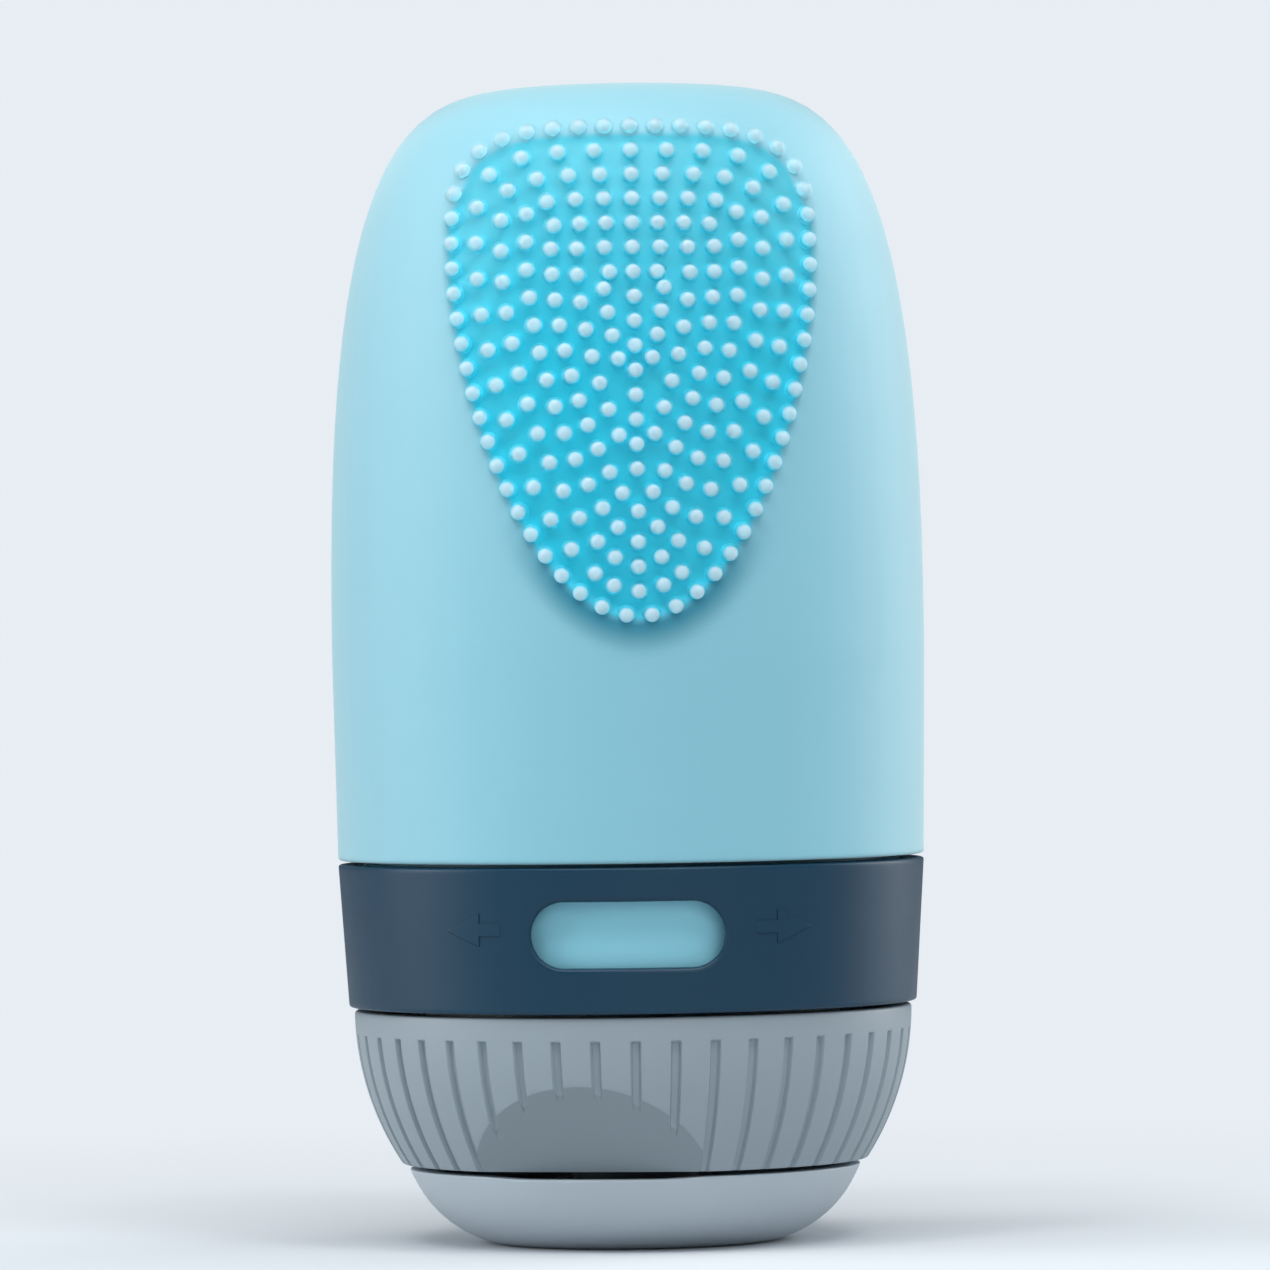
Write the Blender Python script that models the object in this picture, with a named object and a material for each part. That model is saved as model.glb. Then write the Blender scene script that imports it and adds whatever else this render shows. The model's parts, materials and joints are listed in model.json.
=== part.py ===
"""Squeeze bottle for travel, standing on its cap.

A soft body with a scrubbing patch, a neck ring that carries a turning collar over a label ring, a
ribbed screw cap with a drip valve, and a flip lid on a pin. Lengths are in metres, +Z is up, the
front faces -Y, and the origin is the centre of the lid's flat base.
"""

import math

import bmesh
import bpy
import numpy as np
from mathutils import Matrix

# Clearances: between touching pieces, between sliding pieces, past the faces that a cutter crosses
FIT_GAP = 0.0003
RUN_GAP = 0.0005
OVERRUN = 0.0020
WELD = 0.000001

# Flip lid
LID_HEIGHT = 0.0067
LID_BASE_RADIUS = 0.0120
LID_BOWL_RADIUS = 0.0102
LID_SETBACK = 0.0006
LID_WALL = 0.0018
LID_EDGE = 0.0004
SEAL_WALL = 0.0010
SEAL_LAP = 0.0006
PLUG_REACH = 0.0012
PLUG_TIP = 0.0004

# Hinge of the lid
HINGE_RADIUS = 0.0018
HINGE_OUTSET = 0.0008
KNUCKLE_WIDTH = 0.0068
LUG_WIDTH = 0.0028
WEB_STEP = 0.0003
PIN_RADIUS = 0.0008

# Neck ring, from which every radius above the lid is built outwards
NECK_RADIUS = 0.0180
NECK_WALL = 0.0022
NECK_EDGE = 0.0005
FLANGE_THICKNESS = 0.0014
SLEEVE_STEP = 0.0015
SLEEVE_WALL = 0.0018
SLEEVE_HEIGHT = 0.0077
GROOVE_RISE = 0.0032
GROOVE_HEIGHT = 0.0018
GROOVE_DEPTH = 0.0008
GROOVE_SLOPE = 0.0004

# Screw cap
CAP_HEIGHT = 0.0133
CAP_SKIRT = 0.0015
CAP_CAVITY = 0.00245
CAP_CAVITY_FOOT = 0.0014
CAP_SHELL = 0.0017
CAP_FLOOR = 0.0018
DECK_RECESS = 0.0018
DECK_LAND = 0.0055
RIB_COUNT = 44
RIB_GROOVE = 0.00085
RIB_GROOVE_SLOPE = 0.00012
RIB_GROOVE_DEPTH = 0.00045
RIB_TOP_MARGIN = 0.0020
SCOOP_RADIUS = 0.0102
SCOOP_RISE = 0.0075
SCOOP_CROWN = 0.0005

# Spout, drip valve and mouth gasket
SPOUT_RADIUS = 0.0055
SPOUT_LENGTH = 0.0038
SPOUT_WALL = 0.0007
SPOUT_TIP = 0.0012
ORIFICE_RADIUS = 0.0023
VALVE_FLANGE = 0.0010
VALVE_FLANGE_WIDTH = 0.0013
VALVE_RISE = 0.0012
VALVE_SKIN = 0.0005
VALVE_SLIT = 0.0003
RETAINER_WIDTH = 0.0009
RETAINER_HEIGHT = 0.0018
GASKET_THICKNESS = 0.0011
GASKET_WIDTH = 0.0023

# Collar and label ring
COLLAR_HEIGHT = 0.0124
COLLAR_WALL_LOW = 0.0010
COLLAR_WALL_TOP = 0.0018
COLLAR_LIP = 0.0015
COLLAR_LIP_REACH = 0.0011
COLLAR_EDGE = 0.0005
WINDOW_WIDTH = 0.0164
WINDOW_HEIGHT = 0.0056
WINDOW_CHAMFER = 0.0004
WINDOW_RISE = 0.0067
LABEL_WALL = 0.0012

# Soft body
BODY_HEIGHT = 0.0667
BODY_SWELL = 0.0003
BODY_WIDEST_RISE = 0.0177
BODY_WALL = 0.0030
BODY_EDGE = 0.0006
SKIRT_WALL = 0.0020
LEDGE_THICKNESS = 0.0012
FUNNEL_RISE = 0.0052
DOME_RISE_POWER = 2.6
DOME_ROUND_POWER = 5.0

# Scrubbing patch: a shield outline filled with nested rings of nubs
PATCH_DROP = 0.0044
PATCH_HALF_WIDTH = 0.0152
PATCH_TOP = 0.0117
PATCH_TAIL = 0.0298
PATCH_TOP_POWER = 3.9
PATCH_TAIL_POWER = 1.6
PATCH_MARGIN = 0.00078
PATCH_RECESS = 0.0005
PATCH_THICKNESS = 0.0008
OFFSET_KEEP_SHARE = 0.998
NUB_RING_STEP = 0.00208
NUBS_IN_RINGS = (55, 36, 36, 34, 30, 21, 15)
NUBS_IN_COLUMN = 8
NUB_CLEARANCE = 0.0014
NUB_RADIUS = 0.00063
NUB_TIP_SHARE = 0.86
NUB_PROUD = 0.0008
NUB_ROUND = 0.00025
NUB_ROOT = 0.0004
NUB_SIDES = 4

# Turns about the upright axis, in degrees, seen from the front as a turn to the left
COLLAR_TURN = -3.0
CAP_TURN = -14.0

# Facets
BODY_STEPS = 44
RING_STEPS = 36
SMALL_STEPS = 16
DOME_ROWS = 12
HOLLOW_ROWS = 8
BOWL_ROWS = 4
SCOOP_ROWS = 3
FILLET_ROWS = 2
PATCH_POINTS = 32
PATCH_ROWS = 5
PATCH_ROW_POWER = 1.5
FINE_POINTS = 400
SMOOTH_ANGLE = 35.0

# Heights, built up from the lid's base
CAP_BOTTOM = LID_HEIGHT + FIT_GAP
CAP_TOP = CAP_BOTTOM + CAP_HEIGHT
DECK = CAP_BOTTOM + DECK_RECESS
FLOOR = DECK + CAP_FLOOR
SPOUT_END = DECK - SPOUT_LENGTH
GASKET_BOTTOM = FLOOR + FIT_GAP
NECK_BOTTOM = GASKET_BOTTOM + GASKET_THICKNESS + FIT_GAP
COLLAR_BOTTOM = CAP_TOP + FIT_GAP
COLLAR_TOP = COLLAR_BOTTOM + COLLAR_HEIGHT
FLANGE_BOTTOM = COLLAR_BOTTOM + COLLAR_LIP + FIT_GAP
FLANGE_TOP = FLANGE_BOTTOM + FLANGE_THICKNESS
SLEEVE_TOP = FLANGE_TOP + SLEEVE_HEIGHT
BODY_BOTTOM = COLLAR_TOP + FIT_GAP
BODY_TOP = BODY_BOTTOM + BODY_HEIGHT
BODY_WIDEST = BODY_BOTTOM + BODY_WIDEST_RISE
PATCH_WIDEST = BODY_TOP - PATCH_DROP - PATCH_TOP

# Radii, built outwards from the neck
NECK_BORE = NECK_RADIUS - NECK_WALL
SLEEVE_RADIUS = NECK_RADIUS + SLEEVE_STEP
SLEEVE_BORE = SLEEVE_RADIUS - SLEEVE_WALL
SKIRT_BORE = SLEEVE_RADIUS + FIT_GAP
SKIRT_RADIUS = SKIRT_BORE + SKIRT_WALL
LABEL_BORE = SKIRT_RADIUS + FIT_GAP
LABEL_RADIUS = LABEL_BORE + LABEL_WALL
COLLAR_BORE = LABEL_RADIUS + FIT_GAP
COLLAR_RADIUS_LOW = COLLAR_BORE + COLLAR_WALL_LOW
COLLAR_RADIUS_TOP = COLLAR_BORE + COLLAR_WALL_TOP
BODY_RADIUS = COLLAR_RADIUS_TOP + BODY_SWELL
CAP_BORE = NECK_RADIUS + RUN_GAP
CAP_SKIRT_RADIUS = CAP_BORE + CAP_SKIRT
CAP_RADIUS = CAP_SKIRT_RADIUS + CAP_CAVITY + CAP_SHELL
CAP_FOOT_RADIUS = math.sqrt(CAP_RADIUS ** 2 - CAP_HEIGHT ** 2)
LID_RADIUS = CAP_FOOT_RADIUS - LID_SETBACK
HINGE_REACH = CAP_FOOT_RADIUS + HINGE_OUTSET
HINGE_HEIGHT = LID_HEIGHT + FIT_GAP / 2
PIN_HOLE_RADIUS = PIN_RADIUS + FIT_GAP
SPOUT_BORE = SPOUT_RADIUS - SPOUT_WALL


# Materials

def finish_of(name, colour, roughness):
    """A plain moulded finish: linear colour and roughness."""
    material = bpy.data.materials.new(name)
    material.use_nodes = True
    shader = material.node_tree.nodes["Principled BSDF"]
    shader.inputs["Base Color"].default_value = (*colour, 1)
    shader.inputs["Roughness"].default_value = roughness
    shader.inputs["Metallic"].default_value = 0
    material.diffuse_color = (*colour, 1)
    return material


# Outlines, as lists of (radius, height)

def arc_between(start, end, radius, rows):
    """Points of the arc from start to end that bulges to the right of the way from one to the other."""
    start = np.array(start)
    end = np.array(end)
    chord = end - start
    length = np.linalg.norm(chord)
    left = np.array((-chord[1], chord[0])) / length
    centre = (start + end) / 2 + left * math.sqrt(max(radius ** 2 - (length / 2) ** 2, 0))
    first = math.atan2(*(start - centre)[::-1])
    sweep = 2 * math.asin(min(length / 2 / radius, 1))
    angles = [first + sweep * row / rows for row in range(rows + 1)]
    return [(centre[0] + radius * math.cos(a), centre[1] + radius * math.sin(a)) for a in angles]


def with_fillets(corners):
    """An outline from (radius, height, fillet) corners, each fillet as a short arc."""
    outline = []
    for index, (radius, height, fillet) in enumerate(corners):
        corner = np.array((radius, height))
        if not fillet:
            outline.append((radius, height))
            continue
        before = np.array(corners[index - 1][:2]) - corner
        after = np.array(corners[(index + 1) % len(corners)][:2]) - corner
        start = corner + before / np.linalg.norm(before) * fillet
        end = corner + after / np.linalg.norm(after) * fillet
        for row in range(FILLET_ROWS + 1):
            share = row / FILLET_ROWS
            point = start * (1 - share) ** 2 + corner * 2 * share * (1 - share) + end * share ** 2
            outline.append(tuple(point))
    return outline


def body_curve(depth, rows):
    """The body's outer curve from its top to its widest level, moved inwards by depth."""
    rise = BODY_TOP - BODY_WIDEST
    curve = []
    for row in range(rows + 1):
        angle = math.pi / 2 * (1 - row / rows)
        across = math.cos(angle) ** (2 / DOME_ROUND_POWER) if row else 0
        up = math.sin(angle) ** (2 / DOME_RISE_POWER)
        slope_across = DOME_ROUND_POWER * across ** (DOME_ROUND_POWER - 1) / BODY_RADIUS
        slope_up = DOME_RISE_POWER * up ** (DOME_RISE_POWER - 1) / rise
        size = math.hypot(slope_across, slope_up)
        radius = BODY_RADIUS * across - depth * slope_across / size
        curve.append((radius, BODY_WIDEST + rise * up - depth * slope_up / size))
    return curve


def body_radius_at(height, depth):
    """The body's outer radius at a height, moved inwards by depth."""
    curve = body_curve(depth, FINE_POINTS)[::-1]
    return float(np.interp(height, [point[1] for point in curve], [point[0] for point in curve]))


# Solids

def make_piece(name, shape, material, origin=(0, 0, 0)):
    """Turn a bmesh into a named object whose origin is at the given point."""
    bmesh.ops.translate(shape, verts=shape.verts, vec=[-value for value in origin])
    bmesh.ops.recalc_face_normals(shape, faces=shape.faces)
    mesh = bpy.data.meshes.new(name)
    shape.to_mesh(mesh)
    shape.free()
    mesh.shade_smooth()
    mesh.set_sharp_from_angle(angle=math.radians(SMOOTH_ANGLE))
    mesh.materials.append(material)
    piece = bpy.data.objects.new(name, mesh)
    piece.location = origin
    bpy.context.scene.collection.objects.link(piece)
    return piece


def turned(outline, steps, closed=True):
    """Spin an outline about the upright axis. An open outline starts and ends on the axis."""
    shape = bmesh.new()
    points = [shape.verts.new((radius, 0, height)) for radius, height in outline]
    edges = [shape.edges.new(pair) for pair in zip(points, points[1:])]
    if closed:
        edges.append(shape.edges.new((points[-1], points[0])))
    bmesh.ops.spin(shape, geom=points + edges, axis=(0, 0, 1), angle=math.tau, steps=steps,
                   use_merge=True)
    bmesh.ops.remove_doubles(shape, verts=shape.verts, dist=WELD)
    return shape


def cross_bar(radius, low, high, reach, height, steps):
    """A round bar along X from low to high, at a reach along Y and a height."""
    shape = bmesh.new()
    place = Matrix.Translation(((low + high) / 2, reach, height)) @ Matrix.Rotation(math.pi / 2, 4, "Y")
    bmesh.ops.create_cone(shape, cap_ends=True, segments=steps, radius1=radius, radius2=radius,
                          depth=high - low, matrix=place)
    return shape


def block(low, high):
    """A box between two corners."""
    shape = bmesh.new()
    size = [b - a for a, b in zip(low, high)]
    middle = [(a + b) / 2 for a, b in zip(low, high)]
    bmesh.ops.create_cube(shape, size=1, matrix=Matrix.LocRotScale(middle, None, size))
    return shape


def joined(shapes):
    """Gather separate shapes into one bmesh."""
    whole = bmesh.new()
    for shape in shapes:
        mesh = bpy.data.meshes.new("gathered")
        shape.to_mesh(mesh)
        shape.free()
        whole.from_mesh(mesh)
        bpy.data.meshes.remove(mesh)
    return whole


def combine(piece, name, shape, operation):
    """Cut a shape out of a piece, or fuse it to the piece, and keep the tool as a hidden guide."""
    tool = make_piece(name, shape, piece.data.materials[0], tuple(piece.location))
    tool.location = (0, 0, 0)
    tool.parent = piece
    tool.hide_render = True
    tool.display_type = "WIRE"
    change = piece.modifiers.new(name, "BOOLEAN")
    change.operation = operation
    change.solver = "EXACT"
    change.object = tool


# Soft body and scrubbing patch

def patch_outline(inset, count, start_share):
    """Evenly spaced (x, height) points on the patch's outline moved in by inset, tail first."""
    edge = []
    for index in range(FINE_POINTS):
        angle = math.tau * index / FINE_POINTS - math.pi / 2
        cosine = math.cos(angle)
        sine = math.sin(angle)
        if sine < 0:
            across = abs(cosine)
            up = -PATCH_TAIL * abs(sine) ** (2 / PATCH_TAIL_POWER)
        else:
            across = abs(cosine) ** (2 / PATCH_TOP_POWER)
            up = PATCH_TOP * sine ** (2 / PATCH_TOP_POWER)
        edge.append((math.copysign(PATCH_HALF_WIDTH * across, cosine), PATCH_WIDEST + up))
    edge = np.array(edge)
    along = np.roll(edge, -1, axis=0) - np.roll(edge, 1, axis=0)
    along /= np.linalg.norm(along, axis=1, keepdims=True)
    moved = edge + inset * np.column_stack((-along[:, 1], along[:, 0]))
    nearest = np.linalg.norm(moved[:, None] - edge[None], axis=2).min(axis=1)
    moved = moved[nearest >= inset * OFFSET_KEEP_SHARE]
    moved = np.concatenate((moved, moved[:1]))
    run = np.concatenate(([0], np.cumsum(np.linalg.norm(np.diff(moved, axis=0), axis=1))))
    stops = [run[-1] * (index + start_share) / count for index in range(count)]
    return [(float(np.interp(stop, run, moved[:, 0])), float(np.interp(stop, run, moved[:, 1])))
            for stop in stops]


def front_at(x, height, depth):
    """The Y of the body's front at a place, moved inwards by depth."""
    return -math.sqrt(max(body_radius_at(height, depth) ** 2 - x ** 2, 0))


def patch_layer(grow, outer_depth, inner_depth):
    """A curved slice of the body's front inside the patch outline, between two depths."""
    rim = patch_outline(-grow, PATCH_POINTS, 0)
    middle = (0, PATCH_WIDEST - (PATCH_TAIL - PATCH_TOP) / 2)
    shape = bmesh.new()
    faces = []
    for depth in (outer_depth, inner_depth):
        rings = []
        for row in range(PATCH_ROWS):
            share = 1 - (row / PATCH_ROWS) ** PATCH_ROW_POWER
            places = [(x * share, middle[1] + (height - middle[1]) * share) for x, height in rim]
            rings.append([shape.verts.new((x, front_at(x, height, depth), height))
                          for x, height in places])
        centre = shape.verts.new((0, front_at(*middle, depth), middle[1]))
        for wide, narrow in zip(rings, rings[1:]):
            skin(shape, wide, narrow)
        for index, corner in enumerate(rings[-1]):
            shape.faces.new((corner, rings[-1][index - 1], centre))
        faces.append(rings[0])
    skin(shape, *faces)
    return shape


def skin(shape, first, second):
    """Fill the band between two rings. The second has as many points as the first, or a whole
    fraction of them, and then each of its points fans out to the first ring's."""
    share = len(first) // len(second)
    for index, corner in enumerate(second):
        following = second[(index + 1) % len(second)]
        run = [first[(index * share + step) % len(first)] for step in range(share + 1)]
        if share == 1:
            shape.faces.new((*run, following, corner))
            continue
        half = share // 2
        for step in range(share):
            shape.faces.new((run[step], run[step + 1], corner if step < half else following))
            if step == half:
                shape.faces.new((run[half], following, corner))


def nub_places():
    """The (x, height) places of the nubs: nested rings, then a straight column down the middle."""
    places = []
    for ring, count in enumerate(NUBS_IN_RINGS):
        start_share = count % 2 / 2
        places += patch_outline(ring * NUB_RING_STEP, count, start_share)
    column_top = PATCH_WIDEST + PATCH_TOP - len(NUBS_IN_RINGS) * NUB_RING_STEP
    column = [(0, column_top - index * NUB_RING_STEP) for index in range(NUBS_IN_COLUMN)]
    clear = [place for place in places
             if all(math.dist(place, taken) > NUB_CLEARANCE for taken in column)]
    return clear + column


def nub(x, height):
    """One nub: a tapered peg along -Y with a rounded tip, rooted below the patch's face."""
    shape = bmesh.new()
    tip = front_at(x, height, 0) - NUB_PROUD
    rings = []
    for radius, root in ((NUB_RADIUS, True), (NUB_RADIUS * NUB_TIP_SHARE, False)):
        ring = []
        for side in range(NUB_SIDES):
            angle = math.tau * side / NUB_SIDES + math.pi / 2
            spot = (x + radius * math.cos(angle), height + radius * math.sin(angle))
            depth = front_at(*spot, PATCH_RECESS) + NUB_ROOT if root else tip + NUB_ROUND
            ring.append(shape.verts.new((spot[0], depth, spot[1])))
        rings.append(ring)
    skin(shape, *rings)
    shape.faces.new(rings[0])
    peak = shape.verts.new((x, tip, height))
    for index, corner in enumerate(rings[1]):
        shape.faces.new((corner, rings[1][index - 1], peak))
    return shape


def build_body(material):
    """The soft body: a domed shell with a skirt that grips the neck ring's sleeve."""
    groove_bottom = FLANGE_TOP + GROOVE_RISE + GROOVE_SLOPE
    groove_top = FLANGE_TOP + GROOVE_RISE + GROOVE_HEIGHT - GROOVE_SLOPE
    skirt_bottom = FLANGE_TOP + FIT_GAP
    ledge = SLEEVE_TOP + FIT_GAP
    funnel_top = ledge + LEDGE_THICKNESS + FUNNEL_RISE
    outer = [(radius, height, 0) for radius, height in body_curve(0, DOME_ROWS)]
    inner = [(radius, height, 0) for radius, height in body_curve(BODY_WALL, HOLLOW_ROWS)[::-1]]
    lower = [
        (COLLAR_RADIUS_TOP, BODY_BOTTOM, BODY_EDGE),
        (SKIRT_RADIUS, BODY_BOTTOM, 0),
        (SKIRT_RADIUS, skirt_bottom, BODY_EDGE),
        (SKIRT_BORE, skirt_bottom, 0),
        (SKIRT_BORE, groove_bottom, 0),
        (SKIRT_BORE - GROOVE_DEPTH, groove_bottom + GROOVE_SLOPE, 0),
        (SKIRT_BORE - GROOVE_DEPTH, groove_top - GROOVE_SLOPE, 0),
        (SKIRT_BORE, groove_top, 0),
        (SKIRT_BORE, ledge, 0),
        (SLEEVE_BORE, ledge, 0),
        (SLEEVE_BORE, ledge + LEDGE_THICKNESS, LEDGE_THICKNESS / 2),
        (BODY_RADIUS - BODY_WALL - BODY_SWELL, funnel_top, FUNNEL_RISE / 2),
    ]
    outline = with_fillets(outer + lower + inner)
    body = make_piece("bottle_body", turned(outline, BODY_STEPS, closed=False), material)
    pocket_depth = PATCH_RECESS + PATCH_THICKNESS + FIT_GAP
    pocket = patch_layer(PATCH_MARGIN + FIT_GAP, -OVERRUN, pocket_depth)
    combine(body, "patch_pocket", pocket, "DIFFERENCE")
    return body


def build_patch(material):
    """The scrubbing patch: a thin curved backing that carries every nub."""
    backing = patch_layer(PATCH_MARGIN, PATCH_RECESS, PATCH_RECESS + PATCH_THICKNESS)
    patch = make_piece("scrub_patch", backing, material)
    combine(patch, "nub_field", joined([nub(*place) for place in nub_places()]), "UNION")
    return patch


# Neck ring, label ring and collar

def build_neck(material):
    """The neck ring: a threaded neck, the flange that carries the collar, and a grooved sleeve."""
    low = FLANGE_TOP + GROOVE_RISE
    high = low + GROOVE_HEIGHT
    outline = with_fillets([
        (NECK_RADIUS, NECK_BOTTOM, NECK_EDGE),
        (NECK_RADIUS, FLANGE_BOTTOM, 0),
        (LABEL_RADIUS, FLANGE_BOTTOM, 0),
        (LABEL_RADIUS, FLANGE_TOP, 0),
        (SLEEVE_RADIUS, FLANGE_TOP, 0),
        (SLEEVE_RADIUS, low, 0),
        (SLEEVE_RADIUS - GROOVE_DEPTH, low + GROOVE_SLOPE, 0),
        (SLEEVE_RADIUS - GROOVE_DEPTH, high - GROOVE_SLOPE, 0),
        (SLEEVE_RADIUS, high, 0),
        (SLEEVE_RADIUS, SLEEVE_TOP, GROOVE_SLOPE),
        (SLEEVE_BORE, SLEEVE_TOP, 0),
        (SLEEVE_BORE, FLANGE_TOP + SLEEVE_WALL, 0),
        (NECK_BORE, FLANGE_BOTTOM, 0),
        (NECK_BORE, NECK_BOTTOM, 0),
    ])
    return make_piece("neck_ring", turned(outline, RING_STEPS), material)


def build_label_ring(material):
    """The blank label ring that stands on the flange and shows through the collar's window."""
    bottom = FLANGE_TOP + FIT_GAP
    outline = [
        (LABEL_RADIUS, bottom),
        (LABEL_RADIUS, COLLAR_TOP),
        (LABEL_BORE, COLLAR_TOP),
        (LABEL_BORE, bottom),
    ]
    return make_piece("label_ring", turned(outline, RING_STEPS), material)


def window_cutter():
    """A round-ended slot through the collar's front, wider at its outer end by the chamfer."""
    middle = COLLAR_BOTTOM + WINDOW_RISE
    inner_reach = COLLAR_BORE - OVERRUN
    chamfer_reach = COLLAR_RADIUS_LOW - WINDOW_CHAMFER
    outer_reach = COLLAR_RADIUS_TOP + WINDOW_CHAMFER
    shape = bmesh.new()
    rings = []
    for reach, grow in ((inner_reach, 0), (chamfer_reach, 0), (outer_reach, 2 * WINDOW_CHAMFER)):
        radius = WINDOW_HEIGHT / 2 + grow
        straight = (WINDOW_WIDTH - WINDOW_HEIGHT) / 2
        ring = []
        for index in range(SMALL_STEPS):
            angle = math.tau * (index + 1 / 2) / SMALL_STEPS
            side = math.copysign(straight, math.cos(angle))
            place = (side + radius * math.cos(angle), -reach, middle + radius * math.sin(angle))
            ring.append(shape.verts.new(place))
        rings.append(ring)
    for first, second in zip(rings, rings[1:]):
        skin(shape, first, second)
    shape.faces.new(rings[0])
    shape.faces.new(rings[-1])
    return shape


def build_collar(material):
    """The turning collar: a tapered band with a window and a lip that hooks under the flange."""
    lip_radius = LABEL_RADIUS - COLLAR_LIP_REACH
    lip_top = COLLAR_BOTTOM + COLLAR_LIP
    outline = with_fillets([
        (COLLAR_RADIUS_LOW, COLLAR_BOTTOM, COLLAR_EDGE),
        (COLLAR_RADIUS_TOP, COLLAR_TOP, COLLAR_EDGE),
        (COLLAR_BORE, COLLAR_TOP, 0),
        (COLLAR_BORE, lip_top, 0),
        (lip_radius, lip_top, 0),
        (lip_radius, COLLAR_BOTTOM, 0),
    ])
    collar = make_piece("collar", turned(outline, BODY_STEPS), material)
    combine(collar, "window_slot", window_cutter(), "DIFFERENCE")
    collar.rotation_euler.z = math.radians(COLLAR_TURN)
    return collar


# Screw cap

def bowl_radius(height, sphere_radius):
    """The cap's round wall is part of a sphere centred at its top edge."""
    return math.sqrt(sphere_radius ** 2 - (CAP_TOP - height) ** 2)


def rib_ring(shape, radius, height, depth):
    """A ring of the cap's outside, with four points at each groove, sunk by depth inside it."""
    half_floor = (RIB_GROOVE / 2 - RIB_GROOVE_SLOPE) / CAP_RADIUS
    half_groove = RIB_GROOVE / 2 / CAP_RADIUS
    ring = []
    for groove in range(RIB_COUNT):
        middle = math.tau * (groove + 1 / 2) / RIB_COUNT - math.pi / 2
        for turn, sunk in ((-half_groove, 0), (-half_floor, depth), (half_floor, depth), (half_groove, 0)):
            angle = middle + turn
            reach = radius - sunk
            ring.append(shape.verts.new((reach * math.cos(angle), reach * math.sin(angle), height)))
    return ring


def cap_shape():
    """The cap: a ribbed bowl outside, the threaded skirt and floor inside, and the spout below."""
    shell_sphere = CAP_RADIUS - CAP_SHELL
    cavity_radius = CAP_SKIRT_RADIUS + CAP_CAVITY_FOOT
    cavity_bottom = CAP_TOP - math.sqrt(shell_sphere ** 2 - cavity_radius ** 2)
    skirt_top = CAP_TOP - FIT_GAP
    inside = [
        (CAP_FOOT_RADIUS - DECK_LAND, CAP_BOTTOM),
        (CAP_FOOT_RADIUS - DECK_LAND, DECK),
        (SPOUT_RADIUS, DECK),
        (SPOUT_RADIUS, SPOUT_END),
        (ORIFICE_RADIUS, SPOUT_END),
        (ORIFICE_RADIUS, SPOUT_END + SPOUT_TIP),
        (SPOUT_BORE, SPOUT_END + SPOUT_TIP),
        (SPOUT_BORE, FLOOR),
        (CAP_BORE, FLOOR),
        (CAP_BORE, skirt_top),
        (CAP_SKIRT_RADIUS, skirt_top),
        (CAP_SKIRT_RADIUS, cavity_bottom),
        (cavity_radius, cavity_bottom),
        ((cavity_radius + shell_sphere) / 2, (cavity_bottom + CAP_TOP) / 2),
        (shell_sphere, CAP_TOP),
    ]
    shape = bmesh.new()
    rings = []
    for radius, height in inside:
        angles = [math.tau * index / RIB_COUNT - math.pi / 2 for index in range(RIB_COUNT)]
        rings.append([shape.verts.new((radius * math.cos(a), radius * math.sin(a), height)) for a in angles])
    for first, second in zip(rings, rings[1:]):
        skin(shape, first, second)
    rib_top = CAP_TOP - RIB_TOP_MARGIN
    ribbed = []
    for height, depth in ((CAP_TOP, 0), (rib_top, 0), (rib_top - RIB_GROOVE_SLOPE, RIB_GROOVE_DEPTH)):
        ribbed.append(rib_ring(shape, bowl_radius(height, CAP_RADIUS), height, depth))
    for row in range(1, BOWL_ROWS):
        height = rib_top + (CAP_BOTTOM - rib_top) * row / (BOWL_ROWS - 1)
        ribbed.append(rib_ring(shape, bowl_radius(height, CAP_RADIUS), height, RIB_GROOVE_DEPTH))
    for first, second in zip(ribbed, ribbed[1:]):
        skin(shape, first, second)
    skin(shape, ribbed[0], rings[-1])
    skin(shape, ribbed[-1], rings[0])
    return shape


def scoop_cutter():
    """A round, slightly hollowed cutter, turned on its side, that leaves the cap's thumb scoop."""
    top_angle = math.asin((CAP_HEIGHT - SCOOP_RISE) / CAP_RADIUS)
    half_angle = math.asin(SCOOP_RADIUS / CAP_RADIUS)
    reach = CAP_RADIUS * math.cos(half_angle)
    crown_radius = (SCOOP_RADIUS ** 2 + SCOOP_CROWN ** 2) / (2 * SCOOP_CROWN)
    outer = SCOOP_RADIUS + OVERRUN
    drop = crown_radius - math.sqrt(crown_radius ** 2 - outer ** 2)
    face = arc_between((outer, SCOOP_CROWN - drop), (0, SCOOP_CROWN), crown_radius, SCOOP_ROWS)
    back = CAP_RADIUS - reach + OVERRUN
    shape = turned([(0, back), (outer, back)] + face, RING_STEPS, closed=False)
    tilt = Matrix.Rotation(math.pi / 2 + top_angle + half_angle, 4, "X")
    bmesh.ops.transform(shape, verts=shape.verts, matrix=tilt @ Matrix.Translation((0, 0, reach)))
    bmesh.ops.translate(shape, verts=shape.verts, vec=(0, 0, CAP_TOP))
    return shape


def hinge_span():
    """The X of the knuckle's end, the lug's inner face and the lug's outer face."""
    knuckle_end = KNUCKLE_WIDTH / 2
    lug_start = knuckle_end + FIT_GAP
    return knuckle_end, lug_start, lug_start + LUG_WIDTH


def hinge_bar(radius, low, high):
    """A round bar on the hinge's axis."""
    return cross_bar(radius, low, high, HINGE_REACH, HINGE_HEIGHT, SMALL_STEPS)


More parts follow.
